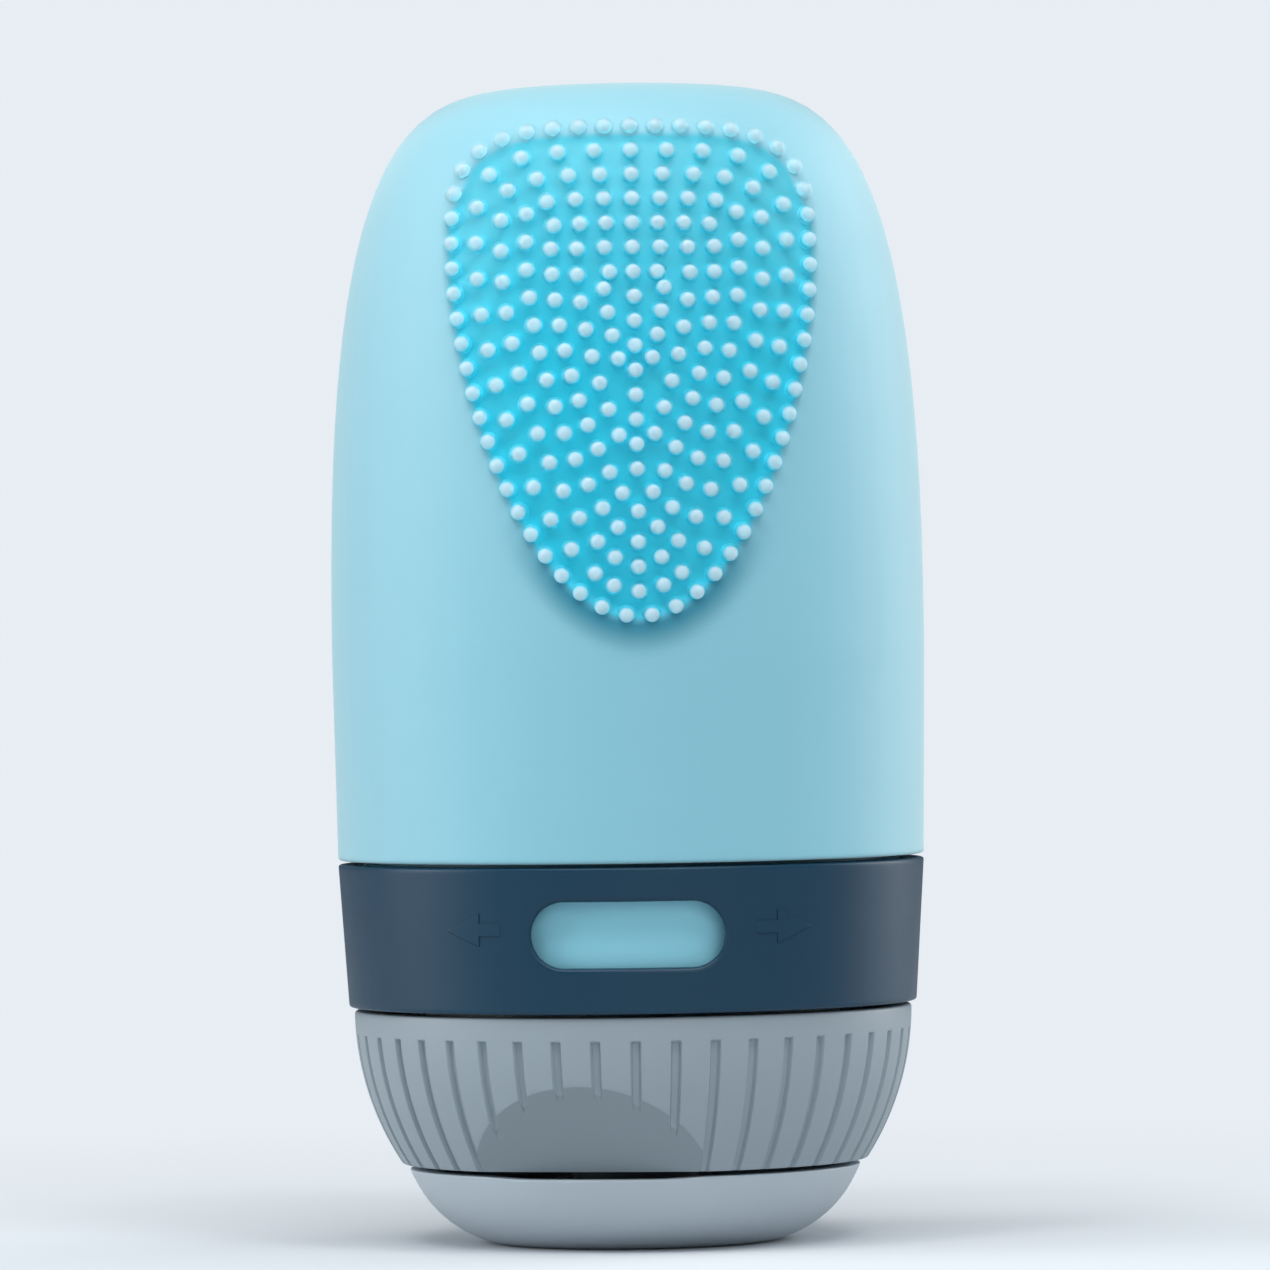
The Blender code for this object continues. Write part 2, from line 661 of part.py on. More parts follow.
def build_cap(material):
    """The screw cap with its thumb scoop and the two lugs of the lid's hinge."""
    _, lug_start, lug_end = hinge_span()
    cap = make_piece("cap", cap_shape(), material)
    lugs = joined([hinge_bar(HINGE_RADIUS, lug_start, lug_end), hinge_bar(HINGE_RADIUS, -lug_end, -lug_start)])
    combine(cap, "hinge_lugs", lugs, "UNION")
    combine(cap, "knuckle_relief", hinge_bar(HINGE_RADIUS + FIT_GAP, -lug_start, lug_start), "DIFFERENCE")
    combine(cap, "lug_bore", hinge_bar(PIN_HOLE_RADIUS, -lug_end - OVERRUN, lug_end + OVERRUN), "DIFFERENCE")
    combine(cap, "thumb_scoop", scoop_cutter(), "DIFFERENCE")
    return cap


def build_valve(material):
    """The drip valve: a small slit dome on a flange that lies on the spout's tip."""
    bottom = SPOUT_END + SPOUT_TIP + FIT_GAP
    radius = SPOUT_BORE - FIT_GAP
    dome_radius = radius - VALVE_FLANGE_WIDTH
    top = bottom + VALVE_FLANGE + VALVE_RISE
    outline = [
        (0, top),
        (dome_radius / 2, top - VALVE_RISE / 4),
        (dome_radius, bottom + VALVE_FLANGE),
        (radius, bottom + VALVE_FLANGE),
        (radius, bottom),
        (dome_radius - VALVE_SKIN, bottom),
        (dome_radius / 2 - VALVE_SKIN / 2, top - VALVE_RISE / 4 - VALVE_SKIN),
        (0, top - VALVE_SKIN),
    ]
    valve = make_piece("spout_valve", turned(outline, SMALL_STEPS, closed=False), material)
    half_long = dome_radius * 2 / 3
    half_thin = VALVE_SLIT / 2
    slit = block((-half_long, -half_thin, bottom - OVERRUN), (half_long, half_thin, top + OVERRUN))
    combine(valve, "valve_slit", slit, "DIFFERENCE")
    return valve


def ring_piece(name, outer, inner, bottom, top, steps, material):
    """A plain flat ring."""
    outline = [(outer, bottom), (outer, top), (inner, top), (inner, bottom)]
    return make_piece(name, turned(outline, steps), material)


# Flip lid

def lid_wall(radius_change, low):
    """The lid's curved wall from a low height to its rim, moved inwards by radius_change."""
    base = np.array((LID_BASE_RADIUS, 0))
    rim = np.array((LID_RADIUS, LID_HEIGHT))
    chord = rim - base
    length = np.linalg.norm(chord)
    bowl = max(LID_BOWL_RADIUS, length / 2)
    left = np.array((-chord[1], chord[0])) / length
    centre = (base + rim) / 2 + left * math.sqrt(bowl ** 2 - (length / 2) ** 2)
    inner = bowl - radius_change
    first = math.asin((low - centre[1]) / inner)
    last = math.asin((LID_HEIGHT - centre[1]) / inner)
    angles = [first + (last - first) * row / BOWL_ROWS for row in range(BOWL_ROWS + 1)]
    return [(centre[0] + inner * math.cos(a), centre[1] + inner * math.sin(a), 0) for a in angles]


def build_lid(material):
    """The flip lid: a shallow bowl with a flat base, a seal ring, a plug and the hinge knuckle."""
    knuckle_end, lug_start, lug_end = hinge_span()
    seal_bore = SPOUT_RADIUS + RUN_GAP
    seal_top = SPOUT_END + SEAL_LAP
    plug_radius = ORIFICE_RADIUS - RUN_GAP
    plug_top = SPOUT_END + PLUG_REACH
    outer = lid_wall(0, 0)
    inner = lid_wall(LID_WALL, LID_WALL)[::-1]
    inner[0] = (inner[0][0], inner[0][1], LID_EDGE)
    fittings = [
        (seal_bore + SEAL_WALL, LID_WALL, 0),
        (seal_bore + SEAL_WALL, seal_top, 0),
        (seal_bore, seal_top, 0),
        (seal_bore, LID_WALL, 0),
        (plug_radius, LID_WALL, 0),
        (plug_radius, plug_top - PLUG_TIP, 0),
        (plug_radius - PLUG_TIP, plug_top, 0),
        (0, plug_top, 0),
    ]
    outline = with_fillets([(0, 0, 0)] + outer + inner + fittings)
    hinge = (0, HINGE_REACH, HINGE_HEIGHT)
    lid = make_piece("flip_lid", turned(outline, RING_STEPS, closed=False), material, hinge)
    web_end = knuckle_end - WEB_STEP
    web = block((-web_end, LID_RADIUS - LID_WALL / 2, HINGE_HEIGHT - HINGE_RADIUS + WEB_STEP),
                (web_end, HINGE_REACH, LID_HEIGHT - WEB_STEP))
    combine(lid, "hinge_web", web, "UNION")
    combine(lid, "hinge_knuckle", hinge_bar(HINGE_RADIUS, -knuckle_end, knuckle_end), "UNION")
    reliefs = joined([hinge_bar(HINGE_RADIUS + FIT_GAP, knuckle_end, lug_end + FIT_GAP),
                      hinge_bar(HINGE_RADIUS + FIT_GAP, -lug_end - FIT_GAP, -knuckle_end)])
    combine(lid, "lug_relief", reliefs, "DIFFERENCE")
    combine(lid, "knuckle_bore", hinge_bar(PIN_HOLE_RADIUS, -lug_start, lug_start), "DIFFERENCE")
    return lid


def main():
    for thing in list(bpy.data.objects):
        bpy.data.objects.remove(thing)

    silicone = finish_of("soft_silicone", (0.34, 0.66, 0.76), 0.50)
    nubs = finish_of("nub_silicone", (0.20, 0.62, 0.74), 0.50)
    navy = finish_of("collar_plastic", (0.03, 0.07, 0.11), 0.35)
    label = finish_of("label_plastic", (0.26, 0.53, 0.66), 0.45)
    grey = finish_of("cap_plastic", (0.44, 0.52, 0.58), 0.40)
    pale = finish_of("lid_plastic", (0.50, 0.58, 0.63), 0.40)
    clear = finish_of("neck_plastic", (0.62, 0.68, 0.72), 0.35)
    seal = finish_of("seal_silicone", (0.75, 0.77, 0.78), 0.55)
    steel = finish_of("pin_steel", (0.60, 0.60, 0.62), 0.30)

    build_body(silicone)
    build_patch(nubs)
    build_neck(clear)
    build_label_ring(label)
    build_collar(navy)
    gasket_radius = CAP_BORE - RUN_GAP
    ring_piece("mouth_gasket", gasket_radius, gasket_radius - GASKET_WIDTH, GASKET_BOTTOM,
               GASKET_BOTTOM + GASKET_THICKNESS, RING_STEPS, seal)

    cap_frame = bpy.data.objects.new("cap_frame", None)
    cap_frame.rotation_euler.z = math.radians(CAP_TURN)
    bpy.context.scene.collection.objects.link(cap_frame)
    retainer_radius = SPOUT_BORE - FIT_GAP
    retainer_bottom = SPOUT_END + SPOUT_TIP + FIT_GAP + VALVE_FLANGE + FIT_GAP
    retainer = ring_piece("valve_retainer", retainer_radius, retainer_radius - RETAINER_WIDTH,
                          retainer_bottom, retainer_bottom + RETAINER_HEIGHT, SMALL_STEPS, grey)
    pin = make_piece("hinge_pin", hinge_bar(PIN_RADIUS, -hinge_span()[2], hinge_span()[2]), steel)
    for piece in (build_cap(grey), build_valve(seal), retainer, pin, build_lid(pale)):
        piece.parent = cap_frame


if __name__ == "__main__":
    main()
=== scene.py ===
"""The looks of a travel squeeze bottle that stands on its flip lid.

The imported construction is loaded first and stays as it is: every piece here is built round the places
that it gives. Lengths are in metres, +Z is up, the front faces -Y, and the origin is the centre of the
lid's flat base.
"""

import json
import logging
import math
from dataclasses import dataclass, field
from enum import Enum
from typing import Any, Callable, Iterable, Mapping, Optional, Sequence, Union

import bmesh
import bpy
import numpy as np
from mathutils import Matrix, Vector


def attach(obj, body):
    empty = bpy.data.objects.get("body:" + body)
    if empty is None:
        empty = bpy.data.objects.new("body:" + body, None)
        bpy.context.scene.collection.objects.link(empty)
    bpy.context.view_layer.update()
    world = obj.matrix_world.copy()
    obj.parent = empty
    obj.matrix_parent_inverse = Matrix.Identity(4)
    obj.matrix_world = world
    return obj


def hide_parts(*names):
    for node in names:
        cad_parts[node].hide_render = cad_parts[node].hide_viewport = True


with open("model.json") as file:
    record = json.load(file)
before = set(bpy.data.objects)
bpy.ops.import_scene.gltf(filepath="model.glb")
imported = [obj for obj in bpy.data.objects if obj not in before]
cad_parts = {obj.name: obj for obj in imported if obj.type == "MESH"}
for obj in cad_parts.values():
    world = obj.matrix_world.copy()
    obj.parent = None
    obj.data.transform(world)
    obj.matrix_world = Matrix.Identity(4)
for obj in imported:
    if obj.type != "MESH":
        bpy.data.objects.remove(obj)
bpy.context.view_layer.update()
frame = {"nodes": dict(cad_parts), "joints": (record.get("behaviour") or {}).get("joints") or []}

log = logging.getLogger("travel_bottle")

Colour = tuple[float, float, float]
Point = tuple[float, float, float]
Spot = tuple[float, float]
Corner = tuple[float, float, float]
Value = Union["Wire", float]

# The angle in degrees past which an edge stays crisp
CREASE = 38.0


class Fit(Enum):
    """Clearances and small steps, in metres."""

    GAP = 0.0003
    RUN = 0.0005
    WELD = 0.000001
    OVERRUN = 0.0020


class Slot(Enum):
    """The record's material slots."""

    BODY = "body_silicone"
    PATCH = "patch_silicone"
    NECK = "neck_plastic"
    LABEL = "label_plastic"
    COLLAR = "collar_plastic"
    CAP = "cap_plastic"
    LID = "lid_plastic"
    SEAL = "seal_silicone"
    PIN = "pin_steel"


# Shader maths

class Wire:
    """An output of a material's node tree that Python's operators can reckon with."""

    def __init__(self, bench: "Bench", socket: Optional[bpy.types.NodeSocket]) -> None:
        """Wrap a socket of the bench's tree."""
        self.bench = bench
        self.socket = socket

    def maths(self, operation: str, *values: Value) -> "Wire":
        """The result of a Math node on some values, in the order of its inputs."""
        return self.bench.add("ShaderNodeMath", {"operation": operation}, dict(enumerate(values)))

    def __add__(self, other: Value) -> "Wire":
        """Sum."""
        return self.maths("ADD", self, other)

    def __radd__(self, other: Value) -> "Wire":
        """Reflected sum."""
        return self.maths("ADD", other, self)

    def __sub__(self, other: Value) -> "Wire":
        """Difference."""
        return self.maths("SUBTRACT", self, other)

    def __rsub__(self, other: Value) -> "Wire":
        """Reflected difference."""
        return self.maths("SUBTRACT", other, self)

    def __mul__(self, other: Value) -> "Wire":
        """Product."""
        return self.maths("MULTIPLY", self, other)

    def __rmul__(self, other: Value) -> "Wire":
        """Reflected product."""
        return self.maths("MULTIPLY", other, self)

    def __pow__(self, other: Value) -> "Wire":
        """Power."""
        return self.maths("POWER", self, other)

    def __abs__(self) -> "Wire":
        """Absolute value."""
        return self.maths("ABSOLUTE", self)

    def ramp(self, low: float, high: float) -> "Wire":
        """Rise smoothly from 0 at low to 1 at high.

        Args:
            low: The value at which the result is 0.
            high: The value at which the result is 1; it may be under low.

        Returns:
            The smooth share.
        """
        settings = {"interpolation_type": "SMOOTHSTEP"}
        if low < high:
            return self.bench.add("ShaderNodeMapRange", settings, {0: self, 1: low, 2: high})
        return 1 - self.bench.add("ShaderNodeMapRange", settings, {0: self, 1: high, 2: low})


class Bench:
    """A material's node tree, empty at first, with one way to add a node."""

    def __init__(self, tree: bpy.types.NodeTree) -> None:
        """Clear the tree."""
        self.tree = tree
        tree.nodes.clear()

    def add(self, kind: str, settings: Optional[Mapping[str, Any]] = None,
            inputs: Optional[Mapping[Union[int, str], Any]] = None, output: Union[int, str] = 0) -> Wire:
        """Add a node, set it up, then fill or link its inputs.

        Args:
            kind: The node's type.
            settings: Its properties.
            inputs: Values or wires by socket name or number.
            output: The output that the wire stands for.

        Returns:
            A wire from that output.
        """
        node = self.tree.nodes.new(kind)
        for name, value in (settings or {}).items():
            setattr(node, name, value)
        for name, value in (inputs or {}).items():
            if isinstance(value, Wire):
                self.tree.links.new(value.socket, node.inputs[name])
            else:
                node.inputs[name].default_value = value
        return Wire(self, node.outputs[output] if node.outputs else None)

    def blend(self, share: Value, first: Union[Wire, Colour], second: Union[Wire, Colour]) -> Wire:
        """Mix two colours; at share 0 only the first shows, at share 1 only the second."""
        ends = [value if isinstance(value, Wire) else (*value, 1) for value in (first, second)]
        return self.add("ShaderNodeMix", {"data_type": "RGBA"}, {0: share, 6: ends[0], 7: ends[1]}, 2)

    def place(self) -> Wire:
        """The point of the surface in its object's own frame."""
        return self.add("ShaderNodeTexCoord", output="Object")

    def axes(self, vector: Wire) -> tuple[Wire, Wire, Wire]:
        """The three parts of a vector."""
        sockets = self.add("ShaderNodeSeparateXYZ", inputs={0: vector}).socket.node.outputs
        return Wire(self, sockets[0]), Wire(self, sockets[1]), Wire(self, sockets[2])

    def stored(self, name: str) -> Wire:
        """A vector kept on the mesh's points."""
        return self.add("ShaderNodeAttribute", {"attribute_name": name}, output="Vector")

    def noise(self, size: float, detail: float = 2.0, at: Optional[Wire] = None) -> Wire:
        """Noise around one half, with grains of about a size and some finer layers, read at a place."""
        inputs = {"Vector": at or self.place(), "Scale": 1 / size, "Detail": detail}
        return self.add("ShaderNodeTexNoise", {}, inputs)

    def bump(self, relief: Wire) -> Wire:
        """The surface's direction, tilted by a relief in metres."""
        return self.add("ShaderNodeBump", {}, {"Strength": 1.0, "Distance": 1.0, "Height": relief})


@dataclass(frozen=True)
class Finish:
    """A moulded surface: its colour, how it scatters light, and the grain that the mould left."""

    name: str
    slot: Slot
    colour: Colour
    roughness: float
    grain: float = 0.00016
    grain_depth: float = 0.0000030
    sway: float = 0.012
    sway_depth: float = 0.0000200
    mottle: float = 0.03
    gloss_size: float = 0.004
    gloss_drift: float = 0.05
    ior: float = 1.45
    scatter: float = 0.0
    scatter_reach: float = 0.0010
    scatter_shares: Colour = (0.3, 1.0, 1.0)
    sheen: float = 0.0
    sheen_tint: Colour = (1.0, 1.0, 1.0)

    def blank(self) -> tuple[bpy.types.Material, Bench]:
        """Start a material under the finish's name.

        Returns:
            The material and its empty tree.
        """
        material = bpy.data.materials.new(self.name)
        material.use_nodes = True
        material.diffuse_color = (*self.colour, 1)
        return material, Bench(material.node_tree)

    def drifting(self, noise: Wire) -> Wire:
        """The roughness, which drifts a little with a noise."""
        return noise * (2 * self.gloss_drift) + (self.roughness - self.gloss_drift)

    def tint(self, bench: Bench) -> Union[Wire, Colour]:
        """The colour before the mottling; finishes with a pattern of their own override it."""
        return self.colour

    def material(self) -> bpy.types.Material:
        """Build the material.

        Returns:
            A material whose nodes drift in colour and gloss and carry the grain as a bump.
        """
        material, bench = self.blank()
        cloud = bench.noise(self.sway)
        base = self.tint(bench)
        drift = cloud * (2 * self.mottle) + (1 - self.mottle)
        level = bench.add("ShaderNodeCombineColor", {}, {0: drift, 1: drift, 2: drift})
        start = base if isinstance(base, Wire) else (*base, 1)
        colour = bench.add("ShaderNodeMix", {"data_type": "RGBA", "blend_type": "MULTIPLY"},
                           {0: 1.0, 6: start, 7: level}, 2)
        rough = self.drifting(bench.noise(self.gloss_size))
        relief = bench.noise(self.grain, 1.0) * self.grain_depth + cloud * self.sway_depth
        shader = self.shade(bench, {"Base Color": colour, "Roughness": rough, "Normal": bench.bump(relief),
                                    "IOR": self.ior, "Sheen Weight": self.sheen,
                                    "Sheen Tint": (*self.sheen_tint, 1)})
        bench.add("ShaderNodeOutputMaterial", {}, {"Surface": shader})
        return material

    def shade(self, bench: Bench, inputs: Mapping[str, Any]) -> Wire:
        """Make the shader; a finish that scatters light only in places overrides this.

        Args:
            bench: The material's tree.
            inputs: The colour, gloss and relief, which are alike all over.

        Returns:
            The shader's output.
        """
        scattering = {"Subsurface Weight": self.scatter, "Subsurface Scale": self.scatter_reach,
                      "Subsurface Radius": self.scatter_shares}
        settings = {"subsurface_method": "BURLEY"}
        return bench.add("ShaderNodeBsdfPrincipled", settings, {**inputs, **scattering})


@dataclass(frozen=True)
class DrawnSteel(Finish):
    """Steel wire with fine lines along X, the way that it was drawn."""

    line: float = 0.00008
    stretch: float = 20.0
    dark_share: float = 0.8

    def material(self) -> bpy.types.Material:
        """Build the material.

        Returns:
            A metal whose gloss is broken by lines along the wire.
        """
        material, bench = self.blank()
        stretched = bench.add("ShaderNodeVectorMath", {"operation": "MULTIPLY"},
                              {0: bench.place(), 1: (1 / self.stretch, 1, 1)})
        lines = bench.noise(self.line, at=stretched)
        dark = tuple(value * self.dark_share for value in self.colour)
        shader = bench.add("ShaderNodeBsdfPrincipled", {}, {
            "Base Color": bench.blend(lines, self.colour, dark), "Roughness": self.drifting(lines),
            "Metallic": 1.0, "Normal": bench.bump(lines * self.grain_depth)})
        bench.add("ShaderNodeOutputMaterial", {}, {"Surface": shader})
        return material


# Measuring the construction

class Gauge:
    """The heights and radii that a turned CAD node reaches."""

    def __init__(self, node: str) -> None:
        """Measure a node.

        Args:
            node: The CAD node's name.
        """
        points = np.array([vertex.co for vertex in frame["nodes"][node].data.vertices])
        radii = np.hypot(points[:, 0], points[:, 1])
        self.low = float(points[:, 2].min())
        self.high = float(points[:, 2].max())
        self.outer = float(radii.max())
        self.inner = float(radii.min())


# Meshes

def smooth(share: float) -> float:
    """A share that starts and ends level."""
    share = min(max(share, 0), 1)
    return share * share * (3 - 2 * share)


def rounded(corners: Iterable[Corner], rows: int = 4) -> list[Spot]:
    """Soften an outline's corners.

    Args:
        corners: (radius, height, fillet) of each corner, in order round the closed outline.
        rows: Steps in a fillet.

    Returns:
        (radius, height) points.
    """
    corners = list(corners)
    outline: list[Spot] = []
    for index, (radius, height, fillet) in enumerate(corners):
        corner = np.array((radius, height))
        if not fillet:
            outline.append((radius, height))
            continue
        before = np.array(corners[index - 1][:2]) - corner
        after = np.array(corners[(index + 1) % len(corners)][:2]) - corner
        start = corner + before / np.linalg.norm(before) * min(fillet, np.linalg.norm(before) / 2)
        end = corner + after / np.linalg.norm(after) * min(fillet, np.linalg.norm(after) / 2)
        for row in range(rows + 1):
            share = row / rows
            point = start * (1 - share) ** 2 + corner * 2 * share * (1 - share) + end * share ** 2
            outline.append((float(point[0]), float(point[1])))
    return outline


def even_angles(steps: int) -> list[float]:
    """Angles evenly round a circle."""
    return [math.tau * step / steps for step in range(steps)]


def spaced(start: float, end: float, steps: int) -> list[float]:
    """Even values from start to end, both included."""
    return [start + (end - start) * step / steps for step in range(steps + 1)]


def between(share: float, starts: Iterable[Spot], ends: Iterable[Spot]) -> list[Spot]:
    """Places a share of the way from some places to others."""
    return [(a + (c - a) * share, b + (d - b) * share) for (a, b), (c, d) in zip(starts, ends)]


def port_angles(half: float, across: int, round_back: int) -> list[float]:
    """Angles round the bottle, closer together over an opening at the front.

    Args:
        half: Half of the angle that the opening takes up.
        across: Columns across the opening.
        round_back: Columns round the rest.

    Returns:
        The angles, from the opening's left side on.
    """
    front = -math.pi / 2
    rest = spaced(front + half, front + math.tau - half, round_back)
    return spaced(front - half, front + half, across) + rest[1:-1]


def port_edge(rows: Sequence[Sequence[int]], columns: int) -> list[int]:
    """The points round the opening that a wall's first columns leave.

    Args:
        rows: The wall's rows, from one end of the opening to the other.
        columns: How many columns are open.

    Returns:
        The indices of the points, once round.
    """
    edge = [rows[0][column] for column in range(columns)]
    edge += [row[columns] for row in rows[:-1]]
    edge += [rows[-1][column] for column in range(columns, 0, -1)]
    return edge + [row[0] for row in rows[:0:-1]]


def linked(name: str, data: bpy.types.ID) -> bpy.types.Object:
    """Make an object of a mesh, a lamp or a camera, and link it to the scene.

    Args:
        name: The object's name.
        data: What it holds.

    Returns:
        The object.
    """
    item = bpy.data.objects.new(name, data)
    bpy.context.scene.collection.objects.link(item)
    return item


class Shell:
    """Points and faces of a mesh in the making, with a mark of three shares kept on each point."""

    MARK = "silicone_mark"

    def __init__(self) -> None:
        """Start empty."""
        self.points: list[Point] = []
        self.faces: list[tuple[int, ...]] = []
        self.marks: list[Point] = []

    def ring(self, points: Iterable[Point], mark: Point = (0, 0, 0)) -> list[int]:
        """Add points.

        Args:
            points: Their places.
            mark: How sunk each is, how near a nub's tip, and how far into the tail's swell; the silicone's
                colours paint shade and light by these shares.

        Returns:
            Their indices.
        """
        first = len(self.points)
        self.points.extend(points)
        self.marks.extend([mark] * (len(self.points) - first))
        return list(range(first, len(self.points)))

    def spots(self, ring: Iterable[int]) -> list[Spot]:
        """The (x, height) of some points."""
        return [(self.points[index][0], self.points[index][2]) for index in ring]

    def cell(self, first: Sequence[int], second: Sequence[int], column: int, columns: int) -> None:
        """Fill one column between two rings.

        Args:
            first: A ring, or a single point.
            second: The other ring, or a single point.
            column: The column's number.
            columns: How many columns there are all round.
        """
        following = (column + 1) % columns
        corners = [first[column % len(first)], first[following % len(first)],
                   second[following % len(second)], second[column % len(second)]]
        self.faces.append(tuple(dict.fromkeys(corners)))

    def band(self, first: Sequence[int], second: Sequence[int]) -> Sequence[int]:
        """Fill between two closed rings; a ring of one point closes the other.

        Args:
            first: The ring that the band starts from.
            second: The ring that it leads to.

        Returns:
            The second ring, from which the next band starts.
        """
        columns = max(len(first), len(second))
        for column in range(columns):
            self.cell(first, second, column, columns)
        return second

    def turn(self, outline: Sequence[Spot], angles: Sequence[float],
             reach: Optional[Callable[[float, float, float], float]] = None,
             skip: Optional[Callable[[int, int], bool]] = None, closed: bool = True) -> list[list[int]]:
        """Turn an outline about the upright axis.

        Args:
            outline: (radius, height) points; those on the axis make poles.
            angles: The angle of each column.
            reach: Gives the radius of a point from its radius, height and angle.
            skip: Says of a row and a column whether that face is left out.
            closed: Whether the last row joins the first.

        Returns:
            The point indices of each row.
        """
        rows = []
        for radius, height in outline:
            if radius < Fit.WELD.value:
                rows.append(self.ring([(0, 0, height)]))
                continue
            radii = [reach(radius, height, angle) if reach else radius for angle in angles]
            rows.append(self.ring((r * math.cos(a), r * math.sin(a), height) for r, a in zip(radii, angles)))
        pairs = list(zip(rows, rows[1:])) + ([(rows[-1], rows[0])] if closed else [])
        for row, (low, high) in enumerate(pairs):
            for column in range(len(angles)):
                if skip is None or not skip(row, column):
                    self.cell(low, high, column, len(angles))
        return rows

    def build(self, name: str, sharp: float = CREASE, marked: bool = False) -> bpy.types.Object:
        """Make the object.

        Args:
            name: The piece's name.
            sharp: The angle in degrees past which an edge stays crisp.
            marked: Whether the points' marks are kept.

        Returns:
            The new object.
        """
        mesh = bpy.data.meshes.new(name)
        mesh.from_pydata(self.points, [], self.faces)
        shape = bmesh.new()
        shape.from_mesh(mesh)
        bmesh.ops.recalc_face_normals(shape, faces=shape.faces)
        shape.to_mesh(mesh)
        shape.free()
        if marked:
            marks = np.array(self.marks, float).ravel()
            mesh.attributes.new(self.MARK, "FLOAT_VECTOR", "POINT").data.foreach_set("vector", marks)
        mesh.shade_smooth()
        mesh.set_sharp_from_angle(angle=math.radians(sharp))
        return linked(name, mesh)


def lathe(name: str, outline: Sequence[Spot], steps: int,
          reach: Optional[Callable[[float, float, float], float]] = None,
          closed: bool = True) -> bpy.types.Object:
    """Turn an outline into an object.

    Args:
        name: The piece's name.
        outline: (radius, height) points.
        steps: Columns round the axis.
        reach: Gives the radius of a point from its radius, height and angle.
        closed: Whether the outline closes on itself.

    Returns:
        The new object.
    """
    shell = Shell()
    shell.turn(outline, even_angles(steps), reach, closed=closed)
    return shell.build(name)


def carve(piece: bpy.types.Object, tools: Sequence[bpy.types.Object]) -> None:
    """Cut tools out of a piece and throw the tools away.

    Args:
        piece: The object that changes.
        tools: The objects that cut it, one after the other.
    """
    for tool in tools:
        change = piece.modifiers.new(tool.name, "BOOLEAN")
        change.operation = "DIFFERENCE"
        change.solver = "EXACT"
        change.object = tool
    graph = bpy.context.evaluated_depsgraph_get()
    carved = bpy.data.meshes.new_from_object(piece.evaluated_get(graph))
    piece.modifiers.clear()
    piece.data = carved
    for tool in tools:
        bpy.data.objects.remove(tool)
    carved.shade_smooth()
    carved.set_sharp_from_angle(angle=math.radians(CREASE))


def block(name: str, size: Point, middle: Point, turn: float = 0.0, edge: float = 0.0,
          edge_rows: int = 3) -> bpy.types.Object:
    """Make a rectangular block.

    Args:
        name: The object's name.
        size: Its width, depth and height.
        middle: Its middle.
        turn: How far it is turned about the upright.
        edge: How wide its rounded edges are, sharp if zero.
        edge_rows: Steps in a rounded edge.

    Returns:
        The object.
    """
    shape = bmesh.new()
    place = Matrix.LocRotScale(Vector(middle), Matrix.Rotation(turn, 3, "Z"), Vector(size))
    bmesh.ops.create_cube(shape, size=1, matrix=place)
    if edge:
        bmesh.ops.bevel(shape, geom=shape.edges[:], offset=edge, segments=edge_rows, affect="EDGES")
    mesh = bpy.data.meshes.new(name)
    shape.to_mesh(mesh)
    shape.free()
    mesh.shade_smooth()
    return linked(name, mesh)


def moved(piece: bpy.types.Object, matrix: Matrix) -> bpy.types.Object:
    """Move a piece's mesh and leave its object at the origin."""
    piece.data.transform(matrix)
    return piece


class Workshop:
    """Dresses pieces and sets them on their bodies."""

    materials: dict[str, bpy.types.Material] = {}

    @classmethod
    def dress(cls, piece: bpy.types.Object, finish: Finish) -> None:
        """Give a piece its finish, and make the material when it is first used.

        Args:
            piece: The object.
            finish: The finish.
        """
        if finish.name not in cls.materials:
            cls.materials[finish.name] = finish.material()
        piece.data.materials.clear()
        piece.data.materials.append(cls.materials[finish.name])

    @classmethod
    def seat(cls, piece: bpy.types.Object, body: str, finish: Finish, *nodes: str) -> None:
        """Dress a piece, set it on its body and let it stand for its CAD nodes.

        Args:
            piece: The finished mesh.
            body: The CAD body that it rides on.
            finish: Its finish, which also names its slot.
            nodes: The CAD nodes that it replaces.
        """
        cls.dress(piece, finish)
        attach(piece, body)
        if nodes:
            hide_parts(*nodes)
        log.info("%s: %d faces on %s, in place of %s", piece.name, len(piece.data.polygons), body,
                 ", ".join(nodes) or "none")


# The soft body and its scrubbing patch

@dataclass(frozen=True)
class DomedSkin:
    """The soft body's outer surface: a squared dome that narrows a little to its foot."""

    top: float
    widest: float
    foot: float
    radius: float
    foot_radius: float
    rise_power: float = 2.6
    round_power: float = 5.0

    def radius_at(self, height: float) -> float:
        """The radius at a height.

        Args:
            height: How high above the lid's base.

        Returns:
            The radius of the surface there.
        """
        if height <= self.widest:
            share = (self.widest - height) / (self.widest - self.foot)
            return self.radius + (self.foot_radius - self.radius) * share
        up = min((height - self.widest) / (self.top - self.widest), 1)
        return self.radius * (1 - up ** self.rise_power) ** (1 / self.round_power)

    def height_at(self, share: float) -> float:
        """The dome's height where its radius is a share of the widest."""
        rise = self.top - self.widest
        return self.widest + rise * (1 - share ** self.round_power) ** (1 / self.rise_power)

    def front(self, x: float, height: float, depth: float = 0.0) -> float:
        """The front's Y at a place.

        Args:
            x: Across.
            height: Up.
            depth: How far below the surface, square to it.

        Returns:
            The Y of that point.
        """
        step = Fit.WELD.value * 10
        radius = self.radius_at(height)
        slope = (self.radius_at(height + step) - self.radius_at(height - step)) / (2 * step)
        out = math.sqrt(max(radius ** 2 - x ** 2, 0))
        facing = out / radius / math.hypot(1, slope)
        return -out + depth / facing


